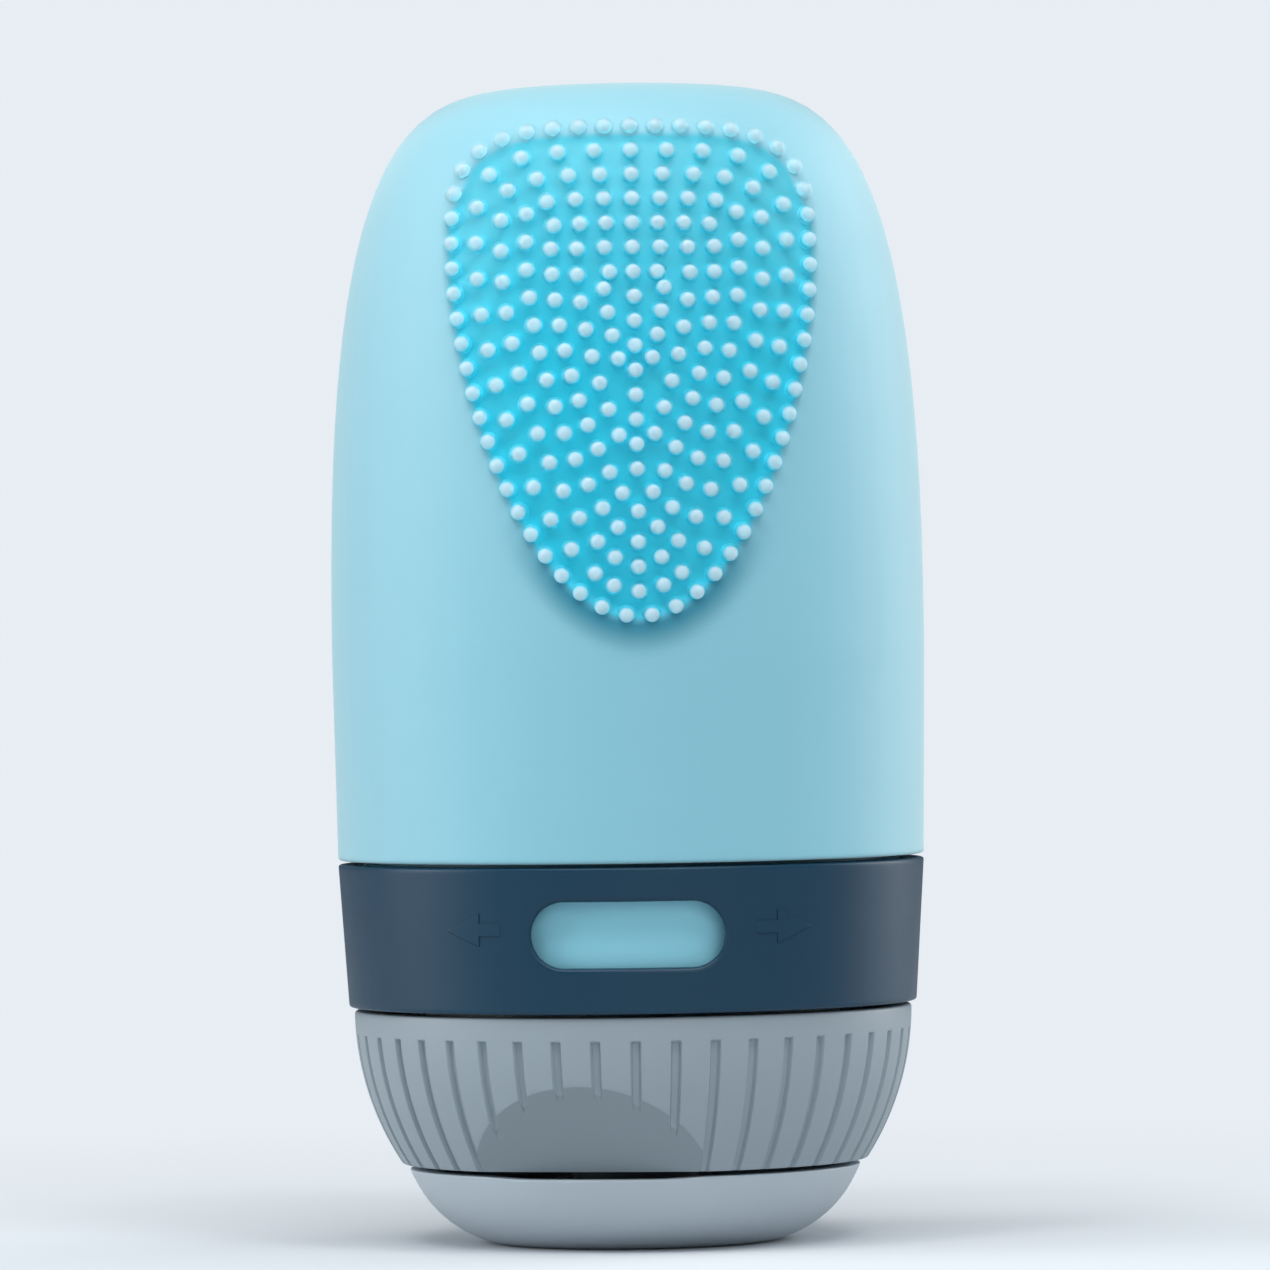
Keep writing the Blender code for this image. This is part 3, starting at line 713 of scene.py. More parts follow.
class Outline:
    """A closed outline on the front, seen from the middle of the shape."""

    def __init__(self, points: Sequence[Spot], middle: Spot) -> None:
        """Keep the points by their direction from the middle.

        Args:
            points: (x, height) points of the outline.
            middle: A place inside it.
        """
        self.middle = middle
        spokes = np.array(points) - np.array(middle)
        turns = np.arctan2(spokes[:, 1], spokes[:, 0])
        order = np.argsort(turns)
        self.turns = turns[order]
        self.reaches = np.hypot(spokes[:, 0], spokes[:, 1])[order]

    def toward(self, x: float, height: float) -> Spot:
        """The outline's point in the direction of a place.

        Args:
            x: The place's X.
            height: Its height.

        Returns:
            The (x, height) of the outline's point.
        """
        across = x - self.middle[0]
        up = height - self.middle[1]
        reach = float(np.interp(math.atan2(up, across), self.turns, self.reaches, period=math.tau))
        size = math.hypot(across, up)
        return self.middle[0] + across / size * reach, self.middle[1] + up / size * reach


@dataclass(frozen=True)
class Shield:
    """The patch's outline: squared at the top, drawn to a rounded point at the tail."""

    widest: float
    half_width: float = 0.0152
    top: float = 0.0117
    tail: float = 0.0298
    top_power: float = 3.9
    tail_power: float = 1.6
    fine: int = 600
    kept_share: float = 0.998
    gather_share: float = 0.07
    swell: float = 0.00030
    swell_reach: float = 0.0030
    swell_full: float = 0.0015
    swell_end: float = 0.0102

    @property
    def middle(self) -> Spot:
        """The middle of the shape."""
        return 0.0, self.widest - (self.tail - self.top) / 2

    def shrunk(self, places: Iterable[Spot], share: float) -> list[Spot]:
        """Places drawn in to the middle of the shape, to a share of their distance from it."""
        centre = self.middle[1]
        return [(x * share, centre + (height - centre) * share) for x, height in places]

    def gathered(self, share: float, gather: float) -> float:
        """Draw a place on the outline back to the tail, on its own side.

        Args:
            share: The place, as a share of the way round from the tail.
            gather: How far it is drawn at most, as a share of the way round.

        Returns:
            The new share.
        """
        away = min(share, 1 - share)
        shift = gather * (1 - 2 * away) * smooth(away / self.gather_share)
        return share - math.copysign(shift, 0.5 - share)

    def points(self, inset: float, count: int, start_share: float = 0.0, gather: float = 0.0) -> list[Spot]:
        """Spaced points of the outline, moved in, from the tail round by the right.

        Args:
            inset: How far the outline is moved in, square to itself; under zero it grows.
            count: How many points.
            start_share: Where the first one lies, as a share of a step.
            gather: How far the points are drawn towards the tail, as a share of the outline.

        Returns:
            (x, height) points.
        """
        angles = np.linspace(0, math.tau, self.fine, endpoint=False) - math.pi / 2
        cosine = np.cos(angles)
        sine = np.sin(angles)
        low = sine < 0
        across = np.where(low, np.abs(cosine), np.abs(cosine) ** (2 / self.top_power))
        up = np.where(low, -self.tail * np.abs(sine) ** (2 / self.tail_power),
                      self.top * np.abs(sine) ** (2 / self.top_power))
        edge = np.column_stack((np.copysign(self.half_width * across, cosine), self.widest + up))
        along = np.roll(edge, -1, axis=0) - np.roll(edge, 1, axis=0)
        along /= np.linalg.norm(along, axis=1, keepdims=True)
        drawn = edge + inset * np.column_stack((-along[:, 1], along[:, 0]))
        nearest = np.linalg.norm(drawn[:, None] - edge[None], axis=2).min(axis=1)
        drawn = drawn[nearest >= inset * self.kept_share]
        drawn = np.concatenate((drawn, drawn[:1]))
        run = np.concatenate(([0], np.cumsum(np.linalg.norm(np.diff(drawn, axis=0), axis=1))))
        stops = [run[-1] * self.gathered((index + start_share) / count, gather) for index in range(count)]
        return [(float(np.interp(stop, run, drawn[:, 0])), float(np.interp(stop, run, drawn[:, 1])))
                for stop in stops]

    def tail_share(self, height: float, away: float = 0.0) -> float:
        """How much of the tail's swell there is at a place.

        Args:
            height: The place's height.
            away: How far outside the rim it lies.

        Returns:
            A share, 1 at the tail.
        """
        over_tail = height - (self.widest - self.tail)
        near = smooth((self.swell_end - over_tail) / (self.swell_end - self.swell_full))
        return near * (1 - smooth(away / self.swell_reach))


# Painted shade: the tone of the silicone in the shadow under the patch's tail, painted into the body's and
# the rim's colour
TAIL_SHADE: Colour = (0.02, 0.26, 0.38)


@dataclass(frozen=True)
class BodyPaintedShade(Finish):
    """The body's silicone, with the shadow under the patch's tail painted into its colour."""

    deep: Colour = TAIL_SHADE

    def tint(self, bench: Bench) -> Wire:
        """Paint the shadow under the tail into the colour, by the mark's last part."""
        return bench.blend(bench.axes(bench.stored(Shell.MARK))[2], self.colour, self.deep)


@dataclass(frozen=True)
class PatchTint(Finish):
    """The patch's silicone, painted with light and shade: a deep shaded floor, pale at the rim, and lit
    paler on the nubs' tips.
    """

    # low and colour are the floor's painted shade between the nubs: low for its lower part, colour (paler)
    # for its top, where more light falls. tail is the painted shadow under the tail, and tip is painted
    # light on the nubs' tips
    low: Colour = (0.006, 0.54, 0.71)
    rim: Colour = (0.26, 0.60, 0.72)
    tail: Colour = TAIL_SHADE
    tip: Colour = (0.49, 0.69, 0.78)
    fade_low: float = 0.074
    fade_high: float = 0.094
    tip_low_share: float = 0.05
    tip_high_share: float = 0.80
    sunk_share: float = 0.6
    glow_sunk_share: float = 0.8
    glow_tip_share: float = 0.15

    def tint(self, bench: Bench) -> Wire:
        """Mix the floor's two painted tones by height, then rim, floor and tips by the mark's parts; they
        paint shade between the nubs, the shadow under the tail and light on the tips.

        Args:
            bench: The material's tree.

        Returns:
            The colour.
        """
        sunk, tip, swell = bench.axes(bench.stored(Shell.MARK))
        height = bench.axes(bench.place())[2]
        floor = bench.blend(height.ramp(self.fade_low, self.fade_high), self.low, self.colour)
        rim = bench.blend(swell, self.rim, self.tail)
        lower = bench.blend(sunk.ramp(0, self.sunk_share), rim, floor)
        return bench.blend(tip.ramp(self.tip_low_share, self.tip_high_share), lower, self.tip)

    def shade(self, bench: Bench, inputs: Mapping[str, Any]) -> Wire:
        """Let the floor and the nubs scatter light, and leave the rim as plain as the body round it.

        Args:
            bench: The material's tree.
            inputs: The colour, gloss and relief.

        Returns:
            The shader's output.
        """
        plain = bench.add("ShaderNodeBsdfPrincipled", {}, inputs)
        sunk, tip, _ = bench.axes(bench.stored(Shell.MARK))
        share = sunk.maths("MAXIMUM", sunk.ramp(0, self.glow_sunk_share), tip.ramp(0, self.glow_tip_share))
        return bench.add("ShaderNodeMixShader", {}, {0: share, 1: plain, 2: super().shade(bench, inputs)})


@dataclass(frozen=True)
class ScoopPaintedShade(Finish):
    """The cap's plastic, with painted shade: a tone deeper on the face of the thumb scoop, which faces down
    into shade.
    """

    centre: Point = (0.0, 0.0, 0.0)
    axis: Point = (0.0, -1.0, 0.0)
    reach: float = 0.0102
    level: float = 0.0210
    edge: float = 0.00004
    painted_shade_share: float = 0.80

    def tint(self, bench: Bench) -> Wire:
        """Paint shade into the colour within reach of the scoop's own axis, no deeper than its face.

        Args:
            bench: The material's tree.

        Returns:
            The colour.
        """
        x, y, z = (part - middle for part, middle in zip(bench.axes(bench.place()), self.centre))
        along = x * self.axis[0] + y * self.axis[1] + z * self.axis[2]
        away = abs(x * x + y * y + z * z - along * along) ** 0.5
        inside = away.ramp(self.reach + self.edge, self.reach - self.edge)
        inside *= along.ramp(self.level - 3 * self.edge, self.level - self.edge)
        return bench.blend(inside, self.colour, tuple(value * self.painted_shade_share for value in self.colour))


SOFT_TOUCH = {"grain_depth": 0.0000016, "sway_depth": 0.000012, "mottle": 0.015, "sheen": 0.78,
              "sheen_tint": (0.80, 0.98, 1.0)}
SILICONE = BodyPaintedShade("soft_silicone", Slot.BODY, (0.26, 0.60, 0.72), 0.50, **SOFT_TOUCH)
# The patch's colour is the painted shade of its floor's top, paler where more light falls there
PATCH_SILICONE = PatchTint("patch_silicone", Slot.PATCH, (0.060, 0.51, 0.65), 0.50, scatter=0.9,
                           scatter_reach=0.0022, **SOFT_TOUCH)
NATURAL = Finish("natural_plastic", Slot.NECK, (0.62, 0.68, 0.72), 0.34, scatter=0.2, mottle=0.01)
LABEL = Finish("label_plastic", Slot.LABEL, (0.30, 0.73, 0.88), 0.38, mottle=0.01)
NAVY = Finish("navy_plastic", Slot.COLLAR, (0.006, 0.045, 0.088), 0.36, grain=0.00010,
              grain_depth=0.0000022, mottle=0.03, ior=1.38)
GREY = Finish("grey_plastic", Slot.CAP, (0.33, 0.40, 0.45), 0.40, grain=0.00012, mottle=0.015)
PALE = Finish("pale_grey_plastic", Slot.LID, (0.54, 0.62, 0.68), 0.38, grain=0.00012, mottle=0.015)
SEAL = Finish("seal_silicone", Slot.SEAL, (0.72, 0.75, 0.77), 0.50, scatter=0.2, mottle=0.02)
GREY_INNER = Finish("grey_inner_plastic", Slot.CAP, (0.33, 0.40, 0.45), 0.36, mottle=0.01)
STEEL = DrawnSteel("drawn_steel", Slot.PIN, (0.60, 0.60, 0.62), 0.28, grain_depth=0.0000020)


@dataclass
class SoftBody:
    """The squeezable body: a domed shell with a pocket for the patch and a skirt for the neck."""

    skin: DomedSkin
    shield: Shield
    skirt_bottom: float
    sleeve_top: float
    sleeve_radius: float
    wall: float = 0.0030
    skirt_wall: float = 0.0020
    sleeve_wall: float = 0.0018
    edge: float = 0.0006
    ledge: float = 0.0012
    funnel: float = 0.0052
    pocket_margin: float = 0.00072
    pocket_depth: float = 0.0016
    pocket_shares: tuple[float, ...] = (1.0, 0.998, 0.5)
    lip: float = 0.00004
    port_angle: float = math.radians(55)
    port_low: float = 0.0496
    port_high: float = 0.0980
    port_shares: tuple[float, ...] = (0.8, 0.62, 0.5, 0.4, 0.32, 0.26, 0.2, 0.15, 0.1, 0.06, 0.03, 0.0)
    port_columns: int = 60
    back_columns: int = 76
    port_rows: int = 50
    crown_rows: int = 14
    foot_rows: int = 8
    hollow_rows: int = 18

    def outline(self) -> tuple[list[Spot], int]:
        """Draw the outline that is turned.

        Returns:
            Its points, and the row from which the front is left open for the pocket.
        """
        skin = self.skin
        share_high = skin.radius_at(self.port_high) / skin.radius
        foot_top = skin.foot + self.edge
        crown = [(skin.radius * share, skin.height_at(share))
                 for share in spaced(0, share_high, self.crown_rows)]
        heights = spaced(self.port_high, self.port_low, self.port_rows)[1:]
        heights += spaced(self.port_low, foot_top, self.foot_rows)[1:]
        side = [(skin.radius_at(height), height) for height in heights]
        bore = self.sleeve_radius + Fit.GAP.value
        skirt = bore + self.skirt_wall
        ledge = self.sleeve_top + Fit.GAP.value
        sleeve_bore = self.sleeve_radius - self.sleeve_wall
        lower = rounded([
            (skin.radius_at(foot_top), foot_top, 0),
            (skin.foot_radius, skin.foot, self.edge),
            (skirt, skin.foot, 0),
            (skirt, self.skirt_bottom, self.edge),
            (bore, self.skirt_bottom, 0),
            (bore, ledge, 0),
            (sleeve_bore, ledge, 0),
            (sleeve_bore, ledge + self.ledge, self.ledge / 2),
            (skin.radius - self.wall, ledge + self.ledge + self.funnel, self.funnel / 2),
        ])[1:]
        inner = DomedSkin(skin.top - self.wall, skin.widest, skin.foot, skin.radius - self.wall,
                          skin.foot_radius - self.wall, skin.rise_power, skin.round_power)
        hollow = [(inner.radius * share, inner.height_at(share)) for share in spaced(1, 0, self.hollow_rows)]
        return crown + side + lower + hollow, len(crown) - 1

    def build(self) -> None:
        """Build the shell with its pocket and set it on the bottle."""
        outline, first = self.outline()
        last = first + self.port_rows
        columns = self.port_columns
        shell = Shell()
        rows = shell.turn(outline, port_angles(self.port_angle, columns, self.back_columns), closed=False,
                          skip=lambda row, column: first <= row < last and column < columns)
        self.close_front(shell, port_edge(rows[first:last + 1], columns))
        Workshop.seat(shell.build("soft_body_shell", marked=True), "bottle", SILICONE, "bottle_body")

    def close_front(self, shell: Shell, loop: Sequence[int]) -> None:
        """Lead the open front to the patch's rim and down into the pocket.

        Args:
            shell: The mesh in the making.
            loop: The points round the open front.
        """
        shield = self.shield
        rim = Outline(shield.points(-self.pocket_margin, shield.fine), shield.middle)
        spots = shell.spots(loop)
        rims = [rim.toward(*spot) for spot in spots]
        for share in self.port_shares:
            ring = []
            for edge, (x, height) in zip(rims, between(share, rims, spots)):
                swell = shield.tail_share(edge[1], math.dist(edge, (x, height)))
                point = (x, self.skin.front(x, height, -shield.swell * swell), height)
                # The swell's share also goes into the mark, where it paints the shadow under the tail into
                # the body's colour; the swell itself is real shape
                ring += shell.ring([point], (0, 0, swell))
            loop = shell.band(loop, ring)
        for row, share in enumerate(self.pocket_shares):
            ring = []
            for (_, edge), (x, height) in zip(rims, shield.shrunk(rims, share)):
                depth = self.pocket_depth if row else self.lip - shield.swell * shield.tail_share(edge)
                ring += shell.ring([(x, self.skin.front(x, height, depth), height)])
            loop = shell.band(loop, ring)
        centre = shield.middle[1]
        shell.band(loop, shell.ring([(0, self.skin.front(0, centre, self.pocket_depth), centre)]))


@dataclass
class ScrubPatch:
    """The patch: a shallow dished floor whose rim meets the body, with nested rings of nubs."""

    skin: DomedSkin
    shield: Shield
    margin: float = 0.00085
    feather: float = 0.000005
    recess: float = 0.00035
    slope_width: float = 0.0016
    thickness: float = 0.0008
    ring_step: float = 0.00208
    in_rings: tuple[int, ...] = (55, 36, 36, 34, 30, 21, 15)
    gather_shares: tuple[float, ...] = (0.0, 0.022, 0.014, 0.008, 0.004, 0.004, 0.010)
    in_column: int = 8
    nub_clearance: float = 0.0014
    nub_radius: float = 0.00066
    nub_tip_share: float = 0.92
    nub_proud: float = 0.0008
    nub_dome: float = 0.00040
    nub_foot: float = 0.00022
    nub_sides: int = 20
    foot_shares: tuple[Spot, ...] = ((1.32, -0.9), (1.30, 0.0), (1.12, 0.35), (1.0, 1.0))
    # How much of the tip's painted light a nub's foot and its shaft take
    foot_mark: float = 0.1
    shaft_mark: float = 0.2
    dome_rows: int = 6
    dome_power: float = 0.8
    top_rim: float = 0.0009
    top_rim_start: float = 0.0874
    top_rim_full: float = 0.0905
    rim_power: float = 1.6
    rim_columns: int = 220
    rim_rows: int = 24
    floor_rows: int = 18
    back_shares: tuple[float, ...] = (0.5, 0.97, 1.0)
    crease: float = 60.0

    def nub_places(self) -> list[Point]:
        """Place the nubs: nested rings, and a column down the middle.

        Returns:
            The (x, height, distance inside the rim) of each nub.
        """
        inner_inset = len(self.in_rings) * self.ring_step
        column_top = self.shield.widest + self.shield.top - inner_inset
        column = [(0.0, column_top - index * self.ring_step) for index in range(self.in_column)]
        places = []
        for ring, (count, gather) in enumerate(zip(self.in_rings, self.gather_shares)):
            inset = ring * self.ring_step
            for place in self.shield.points(inset, count, count % 2 / 2, gather):
                if all(math.dist(place, taken) > self.nub_clearance for taken in column):
                    places.append((*place, inset + self.margin))
        return places + [(*place, inner_inset) for place in column]

    def sunk_share(self, inset: float, height: float) -> float:
        """How far the floor has sunk at a distance inside the rim; along the top it sinks later."""
        late = smooth((height - self.top_rim_start) / (self.top_rim_full - self.top_rim_start))
        return smooth((inset - self.top_rim * late) / self.slope_width)

    def depth_at(self, inset: float, height: float) -> float:
        """How deep the floor lies at a place; it swells out at the tail.

        Args:
            inset: How far inside the rim the place lies.
            height: Its height.

        Returns:
            The depth below the body's surface, under zero where it stands out.
        """
        sunk = self.sunk_share(inset, height)
        swell = self.shield.swell * self.shield.tail_share(height) * (1 - sunk)
        return (self.recess + self.feather) * sunk - self.feather - swell

    def level(self, places: Iterable[Spot], depth: float) -> list[Point]:
        """Points at places on the front, all as deep below the body's surface."""
        return [(x, self.skin.front(x, height, depth), height) for x, height in places]

    def add_floor(self, shell: Shell) -> None:
        """Add the thin backing, from its back to its rim and over its face to the middle.

        Args:
            shell: The mesh that it goes into.
        """
        shield = self.shield
        back = self.recess + self.thickness
        rim = shield.points(-self.margin, self.rim_columns)
        loop: Sequence[int] = shell.ring(self.level([shield.middle], back))
        for share in self.back_shares:
            loop = shell.band(loop, shell.ring(self.level(shield.shrunk(rim, share), back)))
        inner: list[Spot] = []
        for share in spaced(0, 1, self.rim_rows):
            inset = (self.slope_width + self.top_rim) * share ** self.rim_power
            inner = shield.points(inset - self.margin, self.rim_columns)
            ring = []
            for x, height in inner:
                # The mark paints the floor's shade by how sunk it is, and the shadow under the tail on the
                # rim
                mark = (self.sunk_share(inset, height), 0, shield.tail_share(height))
                ring += shell.ring(self.level([(x, height)], self.depth_at(inset, height)), mark)
            loop = shell.band(loop, ring)
        for step in range(1, self.floor_rows):
            places = shield.shrunk(inner, 1 - step / self.floor_rows)
            loop = shell.band(loop, shell.ring(self.level(places, self.recess), (1, 0, 0)))
        shell.band(loop, shell.ring(self.level([shield.middle], self.recess), (1, 0, 0)))

    def add_nub(self, shell: Shell, x: float, height: float, inset: float) -> None:
        """Add one nub: a flared foot, a tapered shaft along -Y and a domed tip.

        Args:
            shell: The mesh that it goes into.
            x: Its place across.
            height: Its height.
            inset: How far inside the rim it stands.
        """
        tip = self.skin.front(x, height) - self.nub_proud
        shoulder = tip + self.nub_dome
        depth = self.depth_at(inset, height)
        sunk = self.sunk_share(inset, height)
        turns = even_angles(self.nub_sides)
        loop: Sequence[int] = []
        for swell, rise in self.foot_shares:
            radius = self.nub_radius * swell
            spots = [(x + radius * math.cos(a), height + radius * math.sin(a)) for a in turns]
            places = [(u, max(self.skin.front(u, v, depth) - rise * self.nub_foot, shoulder), v)
                      for u, v in spots]
            # The mark's middle part paints light on the nub, rising to its tip
            ring = shell.ring(places, (sunk, self.foot_mark * max(rise, 0), 0))
            if loop:
                shell.band(loop, ring)
            else:
                shell.faces.append(tuple(ring))
            loop = ring
        top_radius = self.nub_radius * self.nub_tip_share
        for row in range(self.dome_rows):
            angle = math.pi / 2 * row / self.dome_rows
            radius = top_radius * math.cos(angle) ** self.dome_power
            y = shoulder - self.nub_dome * math.sin(angle)
            mark = (sunk, self.shaft_mark + (1 - self.shaft_mark) * math.sin(angle), 0)
            places = [(x + radius * math.cos(a), y, height + radius * math.sin(a)) for a in turns]
            loop = shell.band(loop, shell.ring(places, mark))
        shell.band(loop, shell.ring([(x, tip, height)], (sunk, 1, 0)))

    def build(self) -> None:
        """Build the floor and its nubs and set them on the bottle."""
        shell = Shell()
        self.add_floor(shell)
        for place in self.nub_places():
            self.add_nub(shell, *place)
        piece = shell.build("scrub_patch_nubs", self.crease, marked=True)
        Workshop.seat(piece, "bottle", PATCH_SILICONE, "scrub_patch")


# Neck, collar and plain rings

@dataclass(frozen=True)
class Thread:
    """A right-handed thread of two starts, as a ridge or a groove on a turned wall."""

    low: float
    high: float
    climb: float = 0.0054
    starts: int = 2
    depth: float = 0.00036
    crest_share: float = 0.30
    flank_share: float = 0.12
    run_out: float = 0.0012
    row_step: float = 0.00018

    def relief(self, height: float, angle: float) -> float:
        """How far the thread stands from its wall.

        Args:
            height: A place's height.
            angle: Its angle about the axis.

        Returns:
            The relief at that place.
        """
        turn = (height - self.low) / self.climb - angle / math.tau
        phase = abs((turn * self.starts) % 1 - 0.5)
        crest = smooth((phase - (0.5 - self.crest_share / 2 - self.flank_share)) / self.flank_share)
        fade = smooth((height - self.low) / self.run_out) * smooth((self.high - height) / self.run_out)
        return self.depth * crest * fade

    def wall(self, radius: float) -> list[Spot]:
        """The threaded wall's points, close enough to show the flanks."""
        steps = max(int((self.high - self.low) / self.row_step), 2)
        return [(radius, height) for height in spaced(self.low, self.high, steps)]

    def on(self, wall: float) -> Callable[[float, float, float], float]:
        """Say how far a turned outline reaches where one of its walls is threaded.

        Args:
            wall: The threaded wall's radius.

        Returns:
            A function that gives a point's radius from its radius, height and angle.
        """
        def reach(radius: float, height: float, angle: float) -> float:
            """Add the thread's relief on its own wall."""
            threaded = abs(radius - wall) < Fit.WELD.value and self.low <= height <= self.high
            return radius + (self.relief(height, angle) if threaded else 0)

        return reach


@dataclass
class Neck:
    """The neck ring: a threaded neck, the flange that carries the collar, and the sleeve."""

    low: float
    flange_low: float
    flange_high: float
    high: float
    radius: float
    flange_radius: float
    wall: float = 0.0022
    edge: float = 0.0005
    flange_edge: float = 0.0002
    sleeve_step: float = 0.0015
    sleeve_wall: float = 0.0018
    sleeve_edge: float = 0.0004
    sleeve_bore_edge: float = 0.0003
    funnel_edge: float = 0.0006
    columns: int = 120

    @property
    def sleeve_radius(self) -> float:
        """The sleeve's outer radius."""
        return self.radius + self.sleeve_step

    def build(self) -> None:
        """Build the ring with its thread and set it on the bottle."""
        thread = Thread(self.low + self.edge, self.flange_low - self.edge)
        sleeve = self.sleeve_radius
        sleeve_bore = sleeve - self.sleeve_wall
        bore = self.radius - self.wall
        lower = rounded([(bore, self.low, 0), (self.radius, self.low, self.edge),
                         (self.radius, thread.low, 0)])
        upper = rounded([
            (self.radius, self.flange_low, 0),
            (self.flange_radius, self.flange_low, self.flange_edge),
            (self.flange_radius, self.flange_high, self.flange_edge),
            (sleeve, self.flange_high, 0),
            (sleeve, self.high, self.sleeve_edge),
            (sleeve_bore, self.high, self.sleeve_bore_edge),
            (sleeve_bore, self.flange_high + self.sleeve_wall, self.funnel_edge),
            (bore, self.flange_low, self.funnel_edge),
        ])
        outline = lower + thread.wall(self.radius) + upper
        piece = lathe("neck_ring_threaded", outline, self.columns, thread.on(self.radius))
        Workshop.seat(piece, "bottle", NATURAL, "neck_ring")


@dataclass
class PlainRing:
    """A flat ring with softened edges: the label ring, the gasket or the valve's retainer."""

    name: str
    node: str
    body: str
    finish: Finish
    edge: float = 0.0002
    columns: int = 120

    def build(self) -> None:
        """Build the ring round its CAD node's own size."""
        gauge = Gauge(self.node)
        outline = rounded([(gauge.outer, gauge.low, self.edge), (gauge.outer, gauge.high, self.edge),
                           (gauge.inner, gauge.high, self.edge), (gauge.inner, gauge.low, self.edge)])
        Workshop.seat(lathe(self.name, outline, self.columns), self.body, self.finish, self.node)


@dataclass
class Collar:
    """The turning collar: a tapered band with a window, a lip under the flange and two faint arrows."""

    low: float
    high: float
    bore: float
    lip_radius: float
    wall_low: float = 0.0010
    wall_top: float = 0.0018
    lip: float = 0.0015
    lip_edge: float = 0.0003
    bore_edge: float = 0.0002
    edge: float = 0.0005
    edge_rows: int = 6
    turn: float = math.radians(-3)
    window_width: float = 0.0164
    window_height: float = 0.0056
    window_fillet: float = 0.0004
    window_fillet_rows: int = 5
    window_rise: float = 0.0067
    window_points: int = 400
    window_side_points: int = 60
    port_angle: float = math.radians(30)
    port_margin: float = 0.0014
    port_rows: int = 14
    port_columns: int = 48
    back_columns: int = 130
    port_shares: tuple[float, ...] = (0.75, 0.55, 0.38, 0.24, 0.12, 0.0)
    inside_shares: tuple[float, ...] = (0.0, 0.3, 0.65)
    arrow_reach: float = 0.01395
    arrow_length: float = 0.0057
    arrow_head: float = 0.0036
    arrow_height: float = 0.0029
    arrow_shaft: float = 0.0011
    arrow_lift: float = 0.0005
    arrow_proud: float = 0.00008
    arrow_soft: float = 0.00006
    arrow_middle_share: float = 0.55
    arrow_point_share: float = 0.96
    shaft_rows: int = 3
    head_rows: int = 6

    def outer_at(self, height: float) -> float:
        """The outer radius at a height."""
        share = (height - self.low) / (self.high - self.low)
        return self.bore + self.wall_low + (self.wall_top - self.wall_low) * share

    def build(self) -> None:
        """Build the band and its arrows and set them on the collar's body."""
        lip_top = self.low + self.lip
        low_edge = self.low + self.edge
        high_edge = self.high - self.edge
        heights = spaced(lip_top + self.port_margin, self.high - self.port_margin, self.port_rows)
        outer = [(self.outer_at(height), height) for height in heights]
        inner = [(self.bore, height) for height in reversed(heights)]
        top = rounded([(self.outer_at(high_edge), high_edge, 0),
                       (self.outer_at(self.high), self.high, self.edge),
                       (self.bore, self.high, self.bore_edge), (self.bore, high_edge, 0)], self.edge_rows)
        bottom = rounded([(self.bore, lip_top, 0), (self.lip_radius, lip_top, self.lip_edge),
                          (self.lip_radius, self.low, self.lip_edge),
                          (self.outer_at(self.low), self.low, self.edge),
                          (self.outer_at(low_edge), low_edge, 0)], self.edge_rows)
        first_inner = len(outer) + len(top)
        columns = self.port_columns
        shell = Shell()

        def skipped(row: int, column: int) -> bool:
            """Leave both walls open where the window goes."""
            in_rows = row < self.port_rows or first_inner <= row < first_inner + self.port_rows
            return in_rows and column < columns

        angles = port_angles(self.port_angle, columns, self.back_columns)
        rows = shell.turn(outer + top + inner + bottom, angles, skip=skipped)
        outside = port_edge(rows[:len(outer)], columns)
        inside = port_edge(rows[first_inner:first_inner + len(inner)][::-1], columns)
        self.cut_window(shell, outside, inside)
        self.seat(shell.build("collar_band"), "collar")
        for side, name in ((1, "collar_arrow_right"), (-1, "collar_arrow_left")):
            self.seat(self.arrow(name, side))

    def seat(self, piece: bpy.types.Object, *nodes: str) -> None:
        """Turn a piece with the collar and set it on the collar's body."""
        Workshop.seat(moved(piece, Matrix.Rotation(self.turn, 4, "Z")), "collar", NAVY, *nodes)

    def window(self, grow: float) -> Outline:
        """Draw the window's round-ended outline.

        Args:
            grow: How much larger it is than the window, all round.

        Returns:
            The outline.
        """
        middle = (0.0, self.low + self.window_rise)
        radius = self.window_height / 2 + grow
        straight = (self.window_width - self.window_height) / 2
        points = []
        for angle in even_angles(self.window_points):
            side = math.copysign(straight, math.cos(angle))
            points.append((side + radius * math.cos(angle), middle[1] + radius * math.sin(angle)))
        for x in spaced(-straight, straight, self.window_side_points):
            points += [(x, middle[1] + radius), (x, middle[1] - radius)]
        return Outline(points, middle)

    def cut_window(self, shell: Shell, outside: Sequence[int], inside: Sequence[int]) -> None:
        """Lead the two open walls to the window and join them through the band.

        Args:
            shell: The mesh in the making.
            outside: The points round the outer wall's opening.
            inside: The points round the inner wall's opening.
        """
        spots = shell.spots(outside)
        wide = self.window(self.window_fillet)
        narrow = self.window(0)
        grown = [wide.toward(*spot) for spot in spots]
        plain = [narrow.toward(*spot) for spot in spots]
        loop = outside
        for share in self.port_shares:
            loop = self.join(shell, loop, between(share, grown, spots), 0)
        for step in range(1, self.window_fillet_rows + 1):
            angle = math.pi / 2 * step / self.window_fillet_rows
            sunk = self.window_fillet * (1 - math.cos(angle))
            loop = self.join(shell, loop, between(math.sin(angle), grown, plain), sunk)
        for share in self.inside_shares:
            places = between(share, plain, shell.spots(inside))
            ring = shell.ring((x, -math.sqrt(self.bore ** 2 - x ** 2), height) for x, height in places)
            loop = shell.band(loop, ring)
        shell.band(loop, inside)

